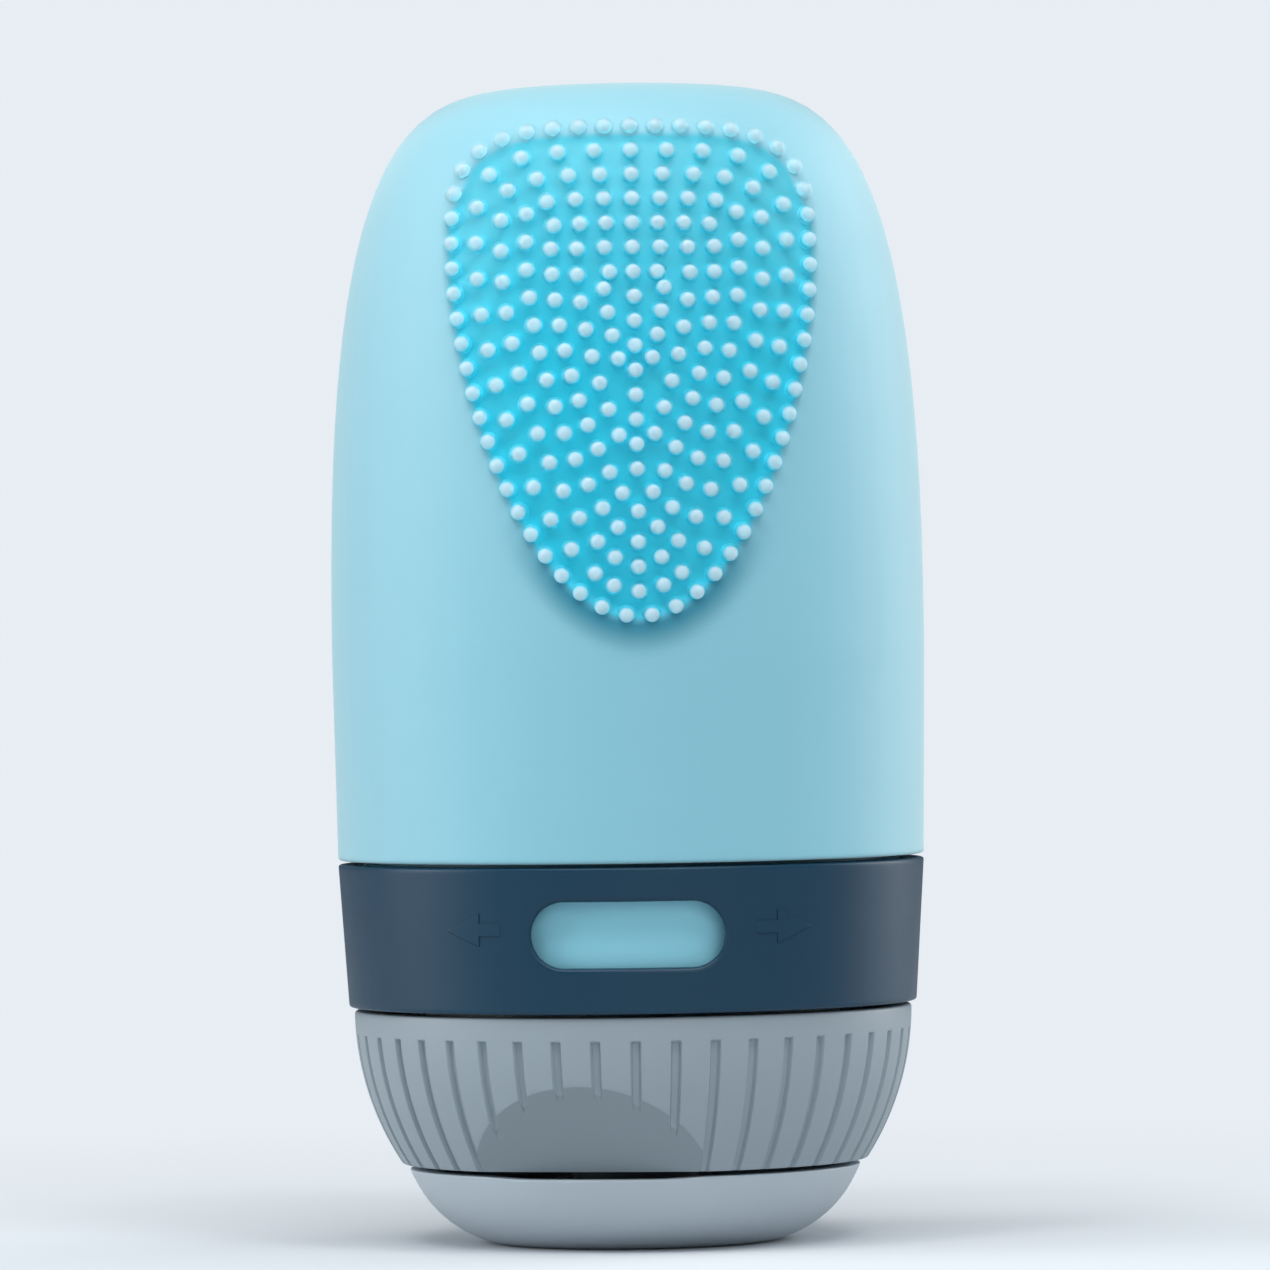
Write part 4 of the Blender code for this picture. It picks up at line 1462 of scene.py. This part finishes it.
    def join(self, shell: Shell, loop: Sequence[int], places: Iterable[Spot], depth: float) -> Sequence[int]:
        """Add a ring on the outer wall and fill up to it.

        Args:
            shell: The mesh in the making.
            loop: The ring that the band starts from.
            places: The (x, height) of the new ring's points.
            depth: How far it is sunk below the wall.

        Returns:
            The new ring.
        """
        ring = shell.ring((x, -math.sqrt((self.outer_at(height) - depth) ** 2 - x ** 2), height)
                          for x, height in places)
        return shell.band(loop, ring)

    def arrow(self, name: str, side: int) -> bpy.types.Object:
        """One arrow, raised a little from the band and pointing away from the window.

        Args:
            name: The piece's name.
            side: 1 for the right, -1 for the left.

        Returns:
            The arrow.
        """
        start = self.arrow_reach - self.arrow_length / 2
        neck = start + self.arrow_length - self.arrow_head
        shaft = [(x, self.arrow_shaft / 2) for x in spaced(start, neck, self.shaft_rows)]
        point = neck + self.arrow_head * self.arrow_point_share
        head = [(x, self.arrow_height / 2 * (1 - (x - neck) / self.arrow_head))
                for x in spaced(neck, point, self.head_rows)]
        middle = self.low + self.window_rise + self.arrow_lift
        shell = Shell()
        upper = [(x, middle + half) for x, half in shaft + head]
        lower = [(x, middle - half) for x, half in reversed(shaft + head)]
        loop: Sequence[int] = []
        centre = start + self.arrow_length * self.arrow_middle_share
        for inset, rise in ((0.0, -self.arrow_proud), (0.0, 0.0), (self.arrow_soft, self.arrow_proud)):
            ring = []
            for x, height in upper + lower:
                pull = 1 - inset / (self.arrow_height / 2)
                u = side * (centre + (x - centre) * pull)
                v = middle + (height - middle) * pull
                reach = self.outer_at(v) + rise
                ring.append((reach * math.sin(u / reach), -reach * math.cos(u / reach), v))
            following = shell.ring(ring)
            if loop:
                shell.band(loop, following)
            loop = following
        count = len(upper)
        for ring in (list(range(2 * count)), loop):
            for index in range(count - 1):
                shell.faces.append((ring[index], ring[index + 1], ring[-2 - index], ring[-1 - index]))
        return shell.build(name)


# Screw cap, its valve and the flip lid

@dataclass(frozen=True)
class Hinge:
    """The lid's hinge, read from its joint."""

    reach: float
    height: float
    turn: float
    radius: float = 0.0018
    knuckle_half: float = 0.0034
    lug_width: float = 0.0028
    pin_radius: float = 0.0008
    edge: float = 0.0003
    columns: int = 48

    @classmethod
    def of(cls, joint: Mapping[str, Any]) -> "Hinge":
        """Read the hinge's place and its turn about the bottle from a joint."""
        x, y, z = joint["pos_m"]
        return cls(math.hypot(x, y), z, math.atan2(joint["axis"][1], joint["axis"][0]))

    @property
    def lug_start(self) -> float:
        """The X of a lug's inner face."""
        return self.knuckle_half + Fit.GAP.value

    def barrel(self, name: str, low: float, high: float, radius: float, bore: float = 0.0,
               edge: float = 0.0) -> bpy.types.Object:
        """A round bar or tube on the hinge's axis.

        Args:
            name: The object's name.
            low: Its end at the left.
            high: Its end at the right.
            radius: Its outer radius.
            bore: Its bore's radius, none if zero.
            edge: The fillet of its outer ends.

        Returns:
            The object.
        """
        outline = rounded([(bore, low, 0), (radius, low, edge), (radius, high, edge), (bore, high, 0)])
        piece = lathe(name, outline, self.columns, closed=bool(bore))
        place = Matrix.Translation((0, self.reach, self.height)) @ Matrix.Rotation(math.pi / 2, 4, "Y")
        return moved(piece, place)

    def tube(self, name: str, low: float, high: float) -> bpy.types.Object:
        """A part that turns on the pin, from one X to another."""
        return self.barrel(name, low, high, self.radius, self.pin_radius + Fit.GAP.value, self.edge)

    def relief(self, name: str, low: float, high: float) -> bpy.types.Object:
        """A tool that makes room for such a part, from one X to another."""
        return self.barrel(name, low, high, self.radius + Fit.GAP.value)

    def clocked(self, piece: bpy.types.Object) -> bpy.types.Object:
        """Turn a piece to the cap's place about the bottle."""
        return moved(piece, Matrix.Rotation(self.turn, 4, "Z"))


@dataclass
class ScrewCap:
    """The screw cap: a ribbed bowl with a thumb scoop, and inside it the threaded skirt and spout."""

    hinge: Hinge
    bottom: float
    top: float
    deck: float
    floor: float
    spout_end: float
    neck_radius: float
    skirt: float = 0.0015
    cavity: float = 0.00245
    cavity_foot: float = 0.0014
    shell_wall: float = 0.0017
    land: float = 0.0055
    rib_count: int = 44
    groove: float = 0.00085
    groove_slope: float = 0.00014
    groove_depth: float = 0.00045
    flank_shares: Spot = (0.72, 0.16)
    rib_margin: float = 0.0020
    rib_lead: float = 0.0008
    scoop_radius: float = 0.0102
    scoop_rise: float = 0.0075
    scoop_crown: float = 0.0005
    edge: float = 0.0003
    foot_edge_share: float = 0.7
    spout_radius: float = 0.0055
    spout_wall: float = 0.0007
    spout_tip: float = 0.0012
    orifice: float = 0.0023
    lead_rows: int = 2
    side_rows: int = 20
    cavity_rows: int = 6
    scoop_rows: int = 16
    scoop_columns: int = 96
    core_columns: int = 120

    @property
    def bore(self) -> float:
        """The threaded bore's radius."""
        return self.neck_radius + Fit.RUN.value

    @property
    def radius(self) -> float:
        """The bowl's radius at its top edge."""
        return self.bore + self.skirt + self.cavity + self.shell_wall

    @property
    def scoop_angle(self) -> float:
        """How far down the scoop faces."""
        return math.asin((self.top - self.bottom - self.scoop_rise) / self.radius) + self.scoop_half_angle

    @property
    def scoop_level(self) -> float:
        """How far from the bowl's centre the scoop's round edge lies, along its axis."""
        return self.radius * math.cos(self.scoop_half_angle)

    @property
    def scoop_half_angle(self) -> float:
        """Half of the angle that the scoop takes up, seen from the bowl's centre."""
        return math.asin(self.scoop_radius / self.radius)

    @property
    def foot_radius(self) -> float:
        """The bowl's radius at its bottom edge."""
        return math.sqrt(self.radius ** 2 - (self.top - self.bottom) ** 2)

    def bowl(self, height: float) -> float:
        """The bowl's radius at a height: part of a sphere centred at the top edge."""
        return math.sqrt(max(self.radius ** 2 - (self.top - height) ** 2, 0))

    def groove_columns(self) -> list[Spot]:
        """Place the bowl's columns, closer together on the flanks of the grooves.

        Returns:
            The angle of each column, and how much of the groove's depth it has.
        """
        half = self.groove / 2
        pitch = math.tau * self.radius / self.rib_count
        flank = self.groove_slope
        steep, slight = self.flank_shares
        right = [(0.0, 1.0), (half - flank, 1.0), (half - flank / 2, steep), (half, slight),
                 (half + flank / 2, 0.0), ((half + pitch / 2) / 2, 0.0)]
        offsets = [(-offset, share) for offset, share in reversed(right[1:])] + right + [(pitch / 2, 0.0)]
        columns = []
        for rib in range(self.rib_count):
            middle = math.tau * (rib + 1 / 2) / self.rib_count - math.pi / 2
            columns += [(middle + offset / self.radius, share) for offset, share in offsets]
        return columns

    def bowl_rows(self) -> list[Point]:
        """Place the bowl's rows, down its side, round its foot and up its hollow.

        Returns:
            The radius and height of each row, and how much of the grooves' depth it has.
        """
        steep, slight = self.flank_shares
        rib_top = self.top - self.rib_margin
        inner = self.radius - self.shell_wall
        cavity_radius = self.bore + self.skirt + self.cavity_foot
        cavity_low = self.top - math.sqrt(inner ** 2 - cavity_radius ** 2)
        land = self.foot_radius - self.land
        brim = self.top - 2 * self.edge
        low_edge = self.bottom + self.edge
        rows = [(radius, height, 0.0) for radius, height in rounded([
            (inner, self.top, 0), (self.bowl(self.top), self.top, self.edge), (self.bowl(brim), brim, 0)])]
        lead = spaced(rib_top + self.rib_lead, rib_top + self.groove_slope / 2, self.lead_rows)
        side = [(height, 0.0) for height in lead]
        side += [(rib_top, slight), (rib_top - self.groove_slope / 2, steep)]
        side += [(height, 1.0) for height in spaced(rib_top - self.groove_slope, low_edge, self.side_rows)]
        rows += [(self.bowl(height), height, share) for height, share in side]
        mid = (self.floor + self.deck) / 2
        foot = rounded([(self.bowl(low_edge), low_edge, 0),
                        (self.foot_radius, self.bottom, self.edge * self.foot_edge_share),
                        (land, self.bottom, self.edge), (land, mid, 0)])
        rows += [(radius, height, max(0, 1 - (self.foot_radius - radius) / self.edge / 2))
                 for radius, height in foot[1:-1]]
        hidden = self.bore + self.skirt / 2
        rows += [(land, mid, 0), (hidden, mid, 0), (hidden, cavity_low, 0), (cavity_radius, cavity_low, 0)]
        return rows + [(math.sqrt(inner ** 2 - (self.top - height) ** 2), height, 0)
                       for height in spaced(cavity_low, self.top, self.cavity_rows)[1:-1]]

    def build_bowl(self) -> bpy.types.Object:
        """Build the ribbed bowl with its inner wall, before the scoop is cut.

        Returns:
            The bowl.
        """
        columns = self.groove_columns()
        shell = Shell()
        loops = []
        for radius, height, groove in self.bowl_rows():
            sunk = [(radius - self.groove_depth * groove * share, angle) for angle, share in columns]
            loops.append(shell.ring((r * math.cos(a), r * math.sin(a), height) for r, a in sunk))
        for low, high in zip(loops, loops[1:] + loops[:1]):
            shell.band(low, high)
        return shell.build("cap_bowl")

    def scoop(self) -> bpy.types.Object:
        """Build the slightly hollowed round cutter, turned on its side, that leaves the thumb scoop.

        Returns:
            The cutter.
        """
        reach = self.scoop_level
        crown = (self.scoop_radius ** 2 + self.scoop_crown ** 2) / (2 * self.scoop_crown)
        outer = self.scoop_radius + Fit.OVERRUN.value
        back = self.radius - reach + Fit.OVERRUN.value
        face = [(r, self.scoop_crown - crown + math.sqrt(crown ** 2 - r ** 2))
                for r in spaced(outer, 0, self.scoop_rows)]
        cutter = lathe("scoop_tool", [(0, back), (outer, back)] + face, self.scoop_columns, closed=False)
        tilt = Matrix.Rotation(math.pi / 2 + self.scoop_angle, 4, "X")
        moved(cutter, tilt @ Matrix.Translation((0, 0, reach)))
        return moved(cutter, Matrix.Translation((0, 0, self.top)))

    def build_core(self) -> bpy.types.Object:
        """Build the floor, the threaded skirt that stands on it and the spout below.

        Returns:
            The core.
        """
        skirt_top = self.top - Fit.GAP.value
        skirt_radius = self.bore + self.skirt
        thread = Thread(self.floor + self.edge, skirt_top - self.edge)
        rim = self.foot_radius - self.land + self.edge
        low = (self.floor + self.deck) / 2 - self.edge
        spout_bore = self.spout_radius - self.spout_wall
        tip_top = self.spout_end + self.spout_tip
        lower = rounded([
            (rim, self.deck, 0), (self.spout_radius, self.deck, self.edge),
            (self.spout_radius, self.spout_end, self.edge), (self.orifice, self.spout_end, self.edge / 2),
            (self.orifice, tip_top, 0), (spout_bore, tip_top, 0), (spout_bore, self.floor, self.edge),
            (self.bore, self.floor, self.edge)])
        upper = rounded([(self.bore, skirt_top, self.edge), (skirt_radius, skirt_top, self.edge),
                         (skirt_radius, self.floor + self.edge, 0), (rim, low, 0)])
        outline = lower + thread.wall(self.bore) + upper
        return lathe("cap_core", outline, self.core_columns, thread.on(self.bore))

    def build(self) -> None:
        """Build the cap's pieces and set them on its body."""
        hinge = self.hinge
        bowl = self.build_bowl()
        carve(bowl, [hinge.relief("relief_tool", -hinge.lug_start, hinge.lug_start), self.scoop()])
        down = self.scoop_angle
        facing = Matrix.Rotation(hinge.turn, 3, "Z") @ Vector((0, -math.cos(down), -math.sin(down)))
        # The scoop's face gets painted shade, a tone deeper than the ribs
        finish = ScoopPaintedShade("ribbed_grey_plastic", GREY.slot, GREY.colour, GREY.roughness, GREY.grain,
                           mottle=GREY.mottle, centre=(0, 0, self.top), axis=tuple(facing),
                           reach=self.scoop_radius, level=self.scoop_level)
        Workshop.seat(hinge.clocked(bowl), "cap", finish, "cap")
        Workshop.seat(hinge.clocked(self.build_core()), "cap", GREY_INNER)
        for side, name in ((1, "hinge_lug_right"), (-1, "hinge_lug_left")):
            ends = sorted((side * hinge.lug_start, side * (hinge.lug_start + hinge.lug_width)))
            Workshop.seat(hinge.clocked(hinge.tube(name, *ends)), "cap", GREY)


@dataclass
class DripValve:
    """The drip valve: a small dome with crossed slits on a flange, held by a ring."""

    hinge: Hinge
    low: float
    high: float
    radius: float
    flange: float = 0.0010
    flange_width: float = 0.0013
    skin: float = 0.0005
    slit: float = 0.00012
    slit_share: float = 1.3
    dome_rows: int = 8
    columns: int = 64

    def build(self) -> None:
        """Build the valve and set it on the cap."""
        dome = self.radius - self.flange_width
        bore = dome - self.skin
        shoulder = self.low + self.flange
        rise = self.high - self.low - self.flange
        over = [(dome * math.sin(a), shoulder + rise * math.cos(a))
                for a in spaced(0, math.pi / 2, self.dome_rows)]
        under = [(bore * math.sin(a), shoulder + (rise - self.skin) * math.cos(a))
                 for a in spaced(math.pi / 2, 0, self.dome_rows)]
        outline = over + [(self.radius, shoulder), (self.radius, self.low), (bore, self.low)] + under
        valve = lathe("drip_valve", outline, self.columns, closed=False)
        size = (dome * self.slit_share, self.slit, self.high - self.low + Fit.OVERRUN.value)
        middle = (0, 0, (self.low + self.high) / 2)
        carve(valve, [block("slit_tool", size, middle, math.pi / 2 * index) for index in range(2)])
        Workshop.seat(self.hinge.clocked(valve), "cap", SEAL, "spout_valve")


@dataclass
class FlipLid:
    """The flip lid: a shallow bowl on a flat base, with a seal ring, a plug and the hinge's knuckle."""

    hinge: Hinge
    height: float
    rim_radius: float
    spout_end: float
    spout_radius: float = 0.0055
    orifice: float = 0.0023
    base_radius: float = 0.0120
    bowl_radius: float = 0.0102
    wall: float = 0.0018
    edge: float = 0.0004
    seal_wall: float = 0.0010
    seal_lap: float = 0.0006
    plug_reach: float = 0.0012
    plug_tip: float = 0.0004
    web_step: float = 0.0003
    rim_drop: float = 0.00013
    dip: float = 0.00017
    dip_height: float = 0.0012
    dip_angle: float = math.radians(33)
    outer_rows: int = 20
    inner_rows: int = 12
    columns: int = 160

    def lower_rim(self, bowl: bpy.types.Object) -> None:
        """Lower the rim a little all round, and more under the cap's thumb scoop.

        Args:
            bowl: The lid's bowl, not yet turned to its place.
        """
        for vertex in bowl.data.vertices:
            away = abs(math.atan2(vertex.co.x, -vertex.co.y))
            up = smooth((vertex.co.z - self.height + self.dip_height) / self.dip_height)
            dip = self.dip * smooth((self.dip_angle - away) / self.dip_angle * 2)
            vertex.co.z -= (self.rim_drop + dip) * up

    def side(self, depth: float, low: float, rows: int) -> list[Spot]:
        """Draw the bowl's wall from a low height to the rim.

        Args:
            depth: How far it is moved inwards.
            low: The height that it starts from.
            rows: How many rows it has.

        Returns:
            Its (radius, height) points.
        """
        base = np.array((self.base_radius, 0))
        rim = np.array((self.rim_radius, self.height))
        chord = rim - base
        length = np.linalg.norm(chord)
        left = np.array((-chord[1], chord[0])) / length
        centre = (base + rim) / 2 + left * math.sqrt(self.bowl_radius ** 2 - (length / 2) ** 2)
        radius = self.bowl_radius - depth
        first = math.asin((low - centre[1]) / radius)
        last = math.asin((self.height - centre[1]) / radius)
        return [(float(centre[0] + radius * math.cos(a)), float(centre[1] + radius * math.sin(a)))
                for a in spaced(first, last, rows)]

    def build(self) -> None:
        """Build the lid's pieces and set them on its body."""
        hinge = self.hinge
        outer = self.side(0, 0, self.outer_rows)
        inner = self.side(self.wall, self.wall, self.inner_rows)[::-1]
        seal_bore = self.spout_radius + Fit.RUN.value
        seal_top = self.spout_end + self.seal_lap
        plug = self.orifice - Fit.RUN.value
        plug_top = self.spout_end + self.plug_reach
        corners = [(0, 0, 0), (self.base_radius - self.edge, 0, 0)]
        corners += [(radius, height, 0) for radius, height in outer[1:-1]]
        corners += [(*outer[-1], self.edge / 2), (*inner[0], self.edge)]
        corners += [(radius, height, 0) for radius, height in inner[1:]]
        corners += [(seal_bore + self.seal_wall, self.wall, self.edge),
                    (seal_bore + self.seal_wall, seal_top, self.edge),
                    (seal_bore, seal_top, self.edge / 2), (seal_bore, self.wall, self.edge),
                    (plug, self.wall, self.edge), (plug, plug_top, self.plug_tip), (0, plug_top, 0)]
        bowl = lathe("lid_bowl", rounded(corners), self.columns, closed=False)
        self.lower_rim(bowl)
        lug_end = hinge.lug_start + hinge.lug_width + Fit.GAP.value
        carve(bowl, [hinge.relief("left_relief", -lug_end, -hinge.knuckle_half),
                     hinge.relief("right_relief", hinge.knuckle_half, lug_end)])
        Workshop.seat(hinge.clocked(bowl), "lid", PALE, "flip_lid")
        knuckle = hinge.tube("lid_knuckle", -hinge.knuckle_half, hinge.knuckle_half)
        Workshop.seat(hinge.clocked(knuckle), "lid", PALE)
        Workshop.seat(hinge.clocked(self.web()), "lid", PALE)

    def web(self) -> bpy.types.Object:
        """Build the web that joins the knuckle to the lid's rim.

        Returns:
            The web.
        """
        hinge = self.hinge
        half = hinge.knuckle_half - self.web_step
        low = (-half, self.rim_radius - self.wall / 2, hinge.height - hinge.radius + self.web_step)
        high = (half, hinge.reach - hinge.pin_radius - 2 * Fit.GAP.value, self.height - self.web_step)
        size = tuple(b - a for a, b in zip(low, high))
        middle = tuple((a + b) / 2 for a, b in zip(low, high))
        return block("lid_web", size, middle, edge=self.web_step / 2)


# Floor, lamps and camera

@dataclass(frozen=True)
class PaleGround(Finish):
    """The floor: it takes the bottle's shadow near by and fades to the backdrop's even tone."""

    backdrop: Colour = (0.80, 0.85, 0.90)
    near: float = 0.04
    far: float = 0.20
    bounce: float = 0.80

    def material(self) -> bpy.types.Material:
        """Build the material.

        Returns:
            A dull floor that shows the backdrop's colour further off.
        """
        material, bench = self.blank()
        x, y, _ = bench.axes(bench.place())
        away = (x * x + y * y) ** 0.5
        seen = bench.add("ShaderNodeLightPath", output="Is Camera Ray")
        dim = tuple(value * self.bounce for value in self.colour)
        dull = bench.add("ShaderNodeBsdfDiffuse", {}, {"Color": bench.blend(seen, dim, self.colour)})
        glow = bench.add("ShaderNodeEmission", {}, {"Color": (*self.backdrop, 1), "Strength": 1.0})
        fade = away.ramp(self.near, self.far) * seen
        shader = bench.add("ShaderNodeMixShader", {}, {0: fade, 1: dull, 2: glow})
        bench.add("ShaderNodeOutputMaterial", {}, {"Surface": shader})
        return material


@dataclass(frozen=True)
class Lamp:
    """A soft rectangular lamp that faces the bottle."""

    name: str
    azimuth: float
    elevation: float
    distance: float
    width: float
    height: float
    power: float
    aim: float = 0.055

    def place(self) -> None:
        """Add the lamp to the scene."""
        light = bpy.data.lights.new(self.name, "AREA")
        light.shape = "RECTANGLE"
        light.size = self.width
        light.size_y = self.height
        light.energy = self.power
        lamp = linked(self.name, light)
        turn = math.radians(self.azimuth)
        lift = math.radians(self.elevation)
        away = Vector((math.sin(turn) * math.cos(lift), -math.cos(turn) * math.cos(lift), math.sin(lift)))
        lamp.location = Vector((0, 0, self.aim)) + away * self.distance
        lamp.rotation_mode = "QUATERNION"
        lamp.rotation_quaternion = away.to_track_quat("Z", "Y")


@dataclass(frozen=True)
class Studio:
    """The pale set and the front view. Columns and rows are pixels of a picture of 1270 by 1270."""

    picture: int = 1270
    axis_column: float = 628.0
    base_row: float = 1240.0
    pixels_per_metre: float = 11520.0
    distance: float = 0.78
    azimuth: float = math.radians(-2.2)
    roll: float = math.radians(-0.8)
    film: float = 0.036
    floor_reach: float = 3.0
    floor_sides: int = 96
    floor_colour: Colour = (0.72, 0.76, 0.80)
    clip_near: float = 0.01
    clip_far: float = 20.0
    ambient: float = 0.20
    backdrop: Colour = (0.80, 0.85, 0.90)
    lamps: tuple[Lamp, ...] = field(default_factory=lambda: (
        Lamp("top_softbox", 0, 72, 0.50, 0.50, 0.45, 2.0),
        Lamp("left_softbox", -90, 12, 0.70, 0.45, 0.60, 3.0),
        Lamp("right_softbox", 116, 12, 0.70, 0.45, 0.60, 2.6),
        Lamp("left_key", -34, 58, 0.90, 0.16, 0.16, 0.8),
        Lamp("right_key", 28, 58, 0.90, 0.16, 0.16, 0.8),
        Lamp("front_fill", 18, 22, 1.20, 0.90, 0.60, 2.7),
    ))

    def build_floor(self) -> None:
        """Add the floor, which isn't part of the bottle."""
        shell = Shell()
        loop = shell.ring((self.floor_reach * math.cos(a), self.floor_reach * math.sin(a), 0)
                          for a in even_angles(self.floor_sides))
        shell.faces.append(tuple(loop))
        floor = shell.build("floor")
        Workshop.dress(floor, PaleGround("pale_ground", Slot.BODY, self.floor_colour, 1.0,
                                         backdrop=self.backdrop))

    def build_world(self) -> None:
        """Light the set evenly and show the backdrop's colour behind it."""
        world = bpy.data.worlds.new("studio")
        world.use_nodes = True
        bpy.context.scene.world = world
        bench = Bench(world.node_tree)
        seen = bench.add("ShaderNodeLightPath", output="Is Camera Ray")
        strength = seen * (1 - self.ambient) + self.ambient
        glow = bench.add("ShaderNodeBackground", {}, {"Color": (*self.backdrop, 1), "Strength": strength})
        bench.add("ShaderNodeOutputWorld", {}, {"Surface": glow})

    def build_camera(self) -> None:
        """Set the camera at the height of the picture's middle, level, far off and a little to the left."""
        lens = bpy.data.cameras.new("front_view")
        lens.sensor_width = self.film * 1000
        focal_pixels = self.pixels_per_metre * self.distance
        lens.lens = lens.sensor_width * focal_pixels / self.picture
        lens.clip_start = self.clip_near
        lens.clip_end = self.clip_far
        camera = linked("front_view", lens)
        across = (self.picture / 2 - self.axis_column) / self.pixels_per_metre
        up = (self.base_row - self.picture / 2) / self.pixels_per_metre
        sideways = Vector((math.cos(self.azimuth), math.sin(self.azimuth), 0))
        back = Vector((math.sin(self.azimuth), -math.cos(self.azimuth), 0))
        camera.location = sideways * across + Vector((0, 0, up)) + back * self.distance
        level = back.to_track_quat("Z", "Y").to_matrix().to_4x4()
        camera.rotation_mode = "QUATERNION"
        camera.rotation_quaternion = (level @ Matrix.Rotation(self.roll, 4, "Z")).to_quaternion()
        bpy.context.scene.camera = camera

    def build(self) -> None:
        """Build the set, its lamps and the camera."""
        bpy.context.scene.view_settings.view_transform = "Standard"
        self.build_floor()
        self.build_world()
        for lamp in self.lamps:
            lamp.place()
        self.build_camera()


# The body's widest level above its foot, and the patch's top below the crown
WIDEST_RISE = 0.0177
PATCH_DROP = 0.0044
# How far the collar's lip reaches in under the label ring
LIP_LAP = 0.0011
# The cap's floor, the spout below it, and how far the lid's rim is set in from the cap
CAP_FLOOR = 0.0018
SPOUT_REACH = 0.0038
RIM_INSET = 0.0006


def build_bottle() -> None:
    """Build every sub-assembly from the places that the construction gives."""
    body = Gauge("bottle_body")
    collar = Gauge("collar")
    neck = Gauge("neck_ring")
    label = Gauge("label_ring")
    gasket = Gauge("mouth_gasket")
    cap = Gauge("cap")
    valve = Gauge("spout_valve")
    joints = {joint["name"]: joint for joint in frame["joints"]}
    hinge = Hinge.of(joints["lid_flip"])
    gap = Fit.GAP.value

    foot = collar.high + gap
    collar_bore = label.outer + gap
    skin = DomedSkin(body.high, foot + WIDEST_RISE, foot, body.outer, collar_bore + Collar.wall_top)
    shield = Shield(body.high - PATCH_DROP - Shield.top)
    flange_low = collar.low + Collar.lip + gap
    neck_piece = Neck(neck.low, flange_low, label.low - gap, neck.high, gasket.outer, label.outer)
    SoftBody(skin, shield, body.low, neck.high, neck_piece.sleeve_radius).build()
    ScrubPatch(skin, shield).build()
    neck_piece.build()
    PlainRing("label_ring_blank", "label_ring", "bottle", LABEL, columns=160).build()
    Collar(collar.low, collar.high, collar_bore, label.outer - LIP_LAP).build()
    PlainRing("gasket_ring", "mouth_gasket", "gasket", SEAL).build()

    lid_height = hinge.height - gap / 2
    floor = gasket.low - gap
    deck = floor - CAP_FLOOR
    spout_end = cap.low if cap.low > hinge.height - hinge.radius else deck - SPOUT_REACH
    screw_cap = ScrewCap(hinge, lid_height + gap, cap.high, deck, floor, spout_end, gasket.outer)
    screw_cap.build()
    DripValve(hinge, valve.low, valve.high, valve.outer).build()
    PlainRing("valve_clamp_ring", "valve_retainer", "cap", GREY_INNER).build()
    FlipLid(hinge, lid_height, screw_cap.foot_radius - RIM_INSET, spout_end).build()
    Workshop.dress(frame["nodes"]["hinge_pin"], STEEL)
    log.info("hinge_pin: kept as built, in drawn steel")


def main() -> None:
    """Build the bottle and its set."""
    logging.basicConfig(level=logging.INFO, format="%(message)s")
    build_bottle()
    Studio().build()


if __name__ == "__main__":
    main()
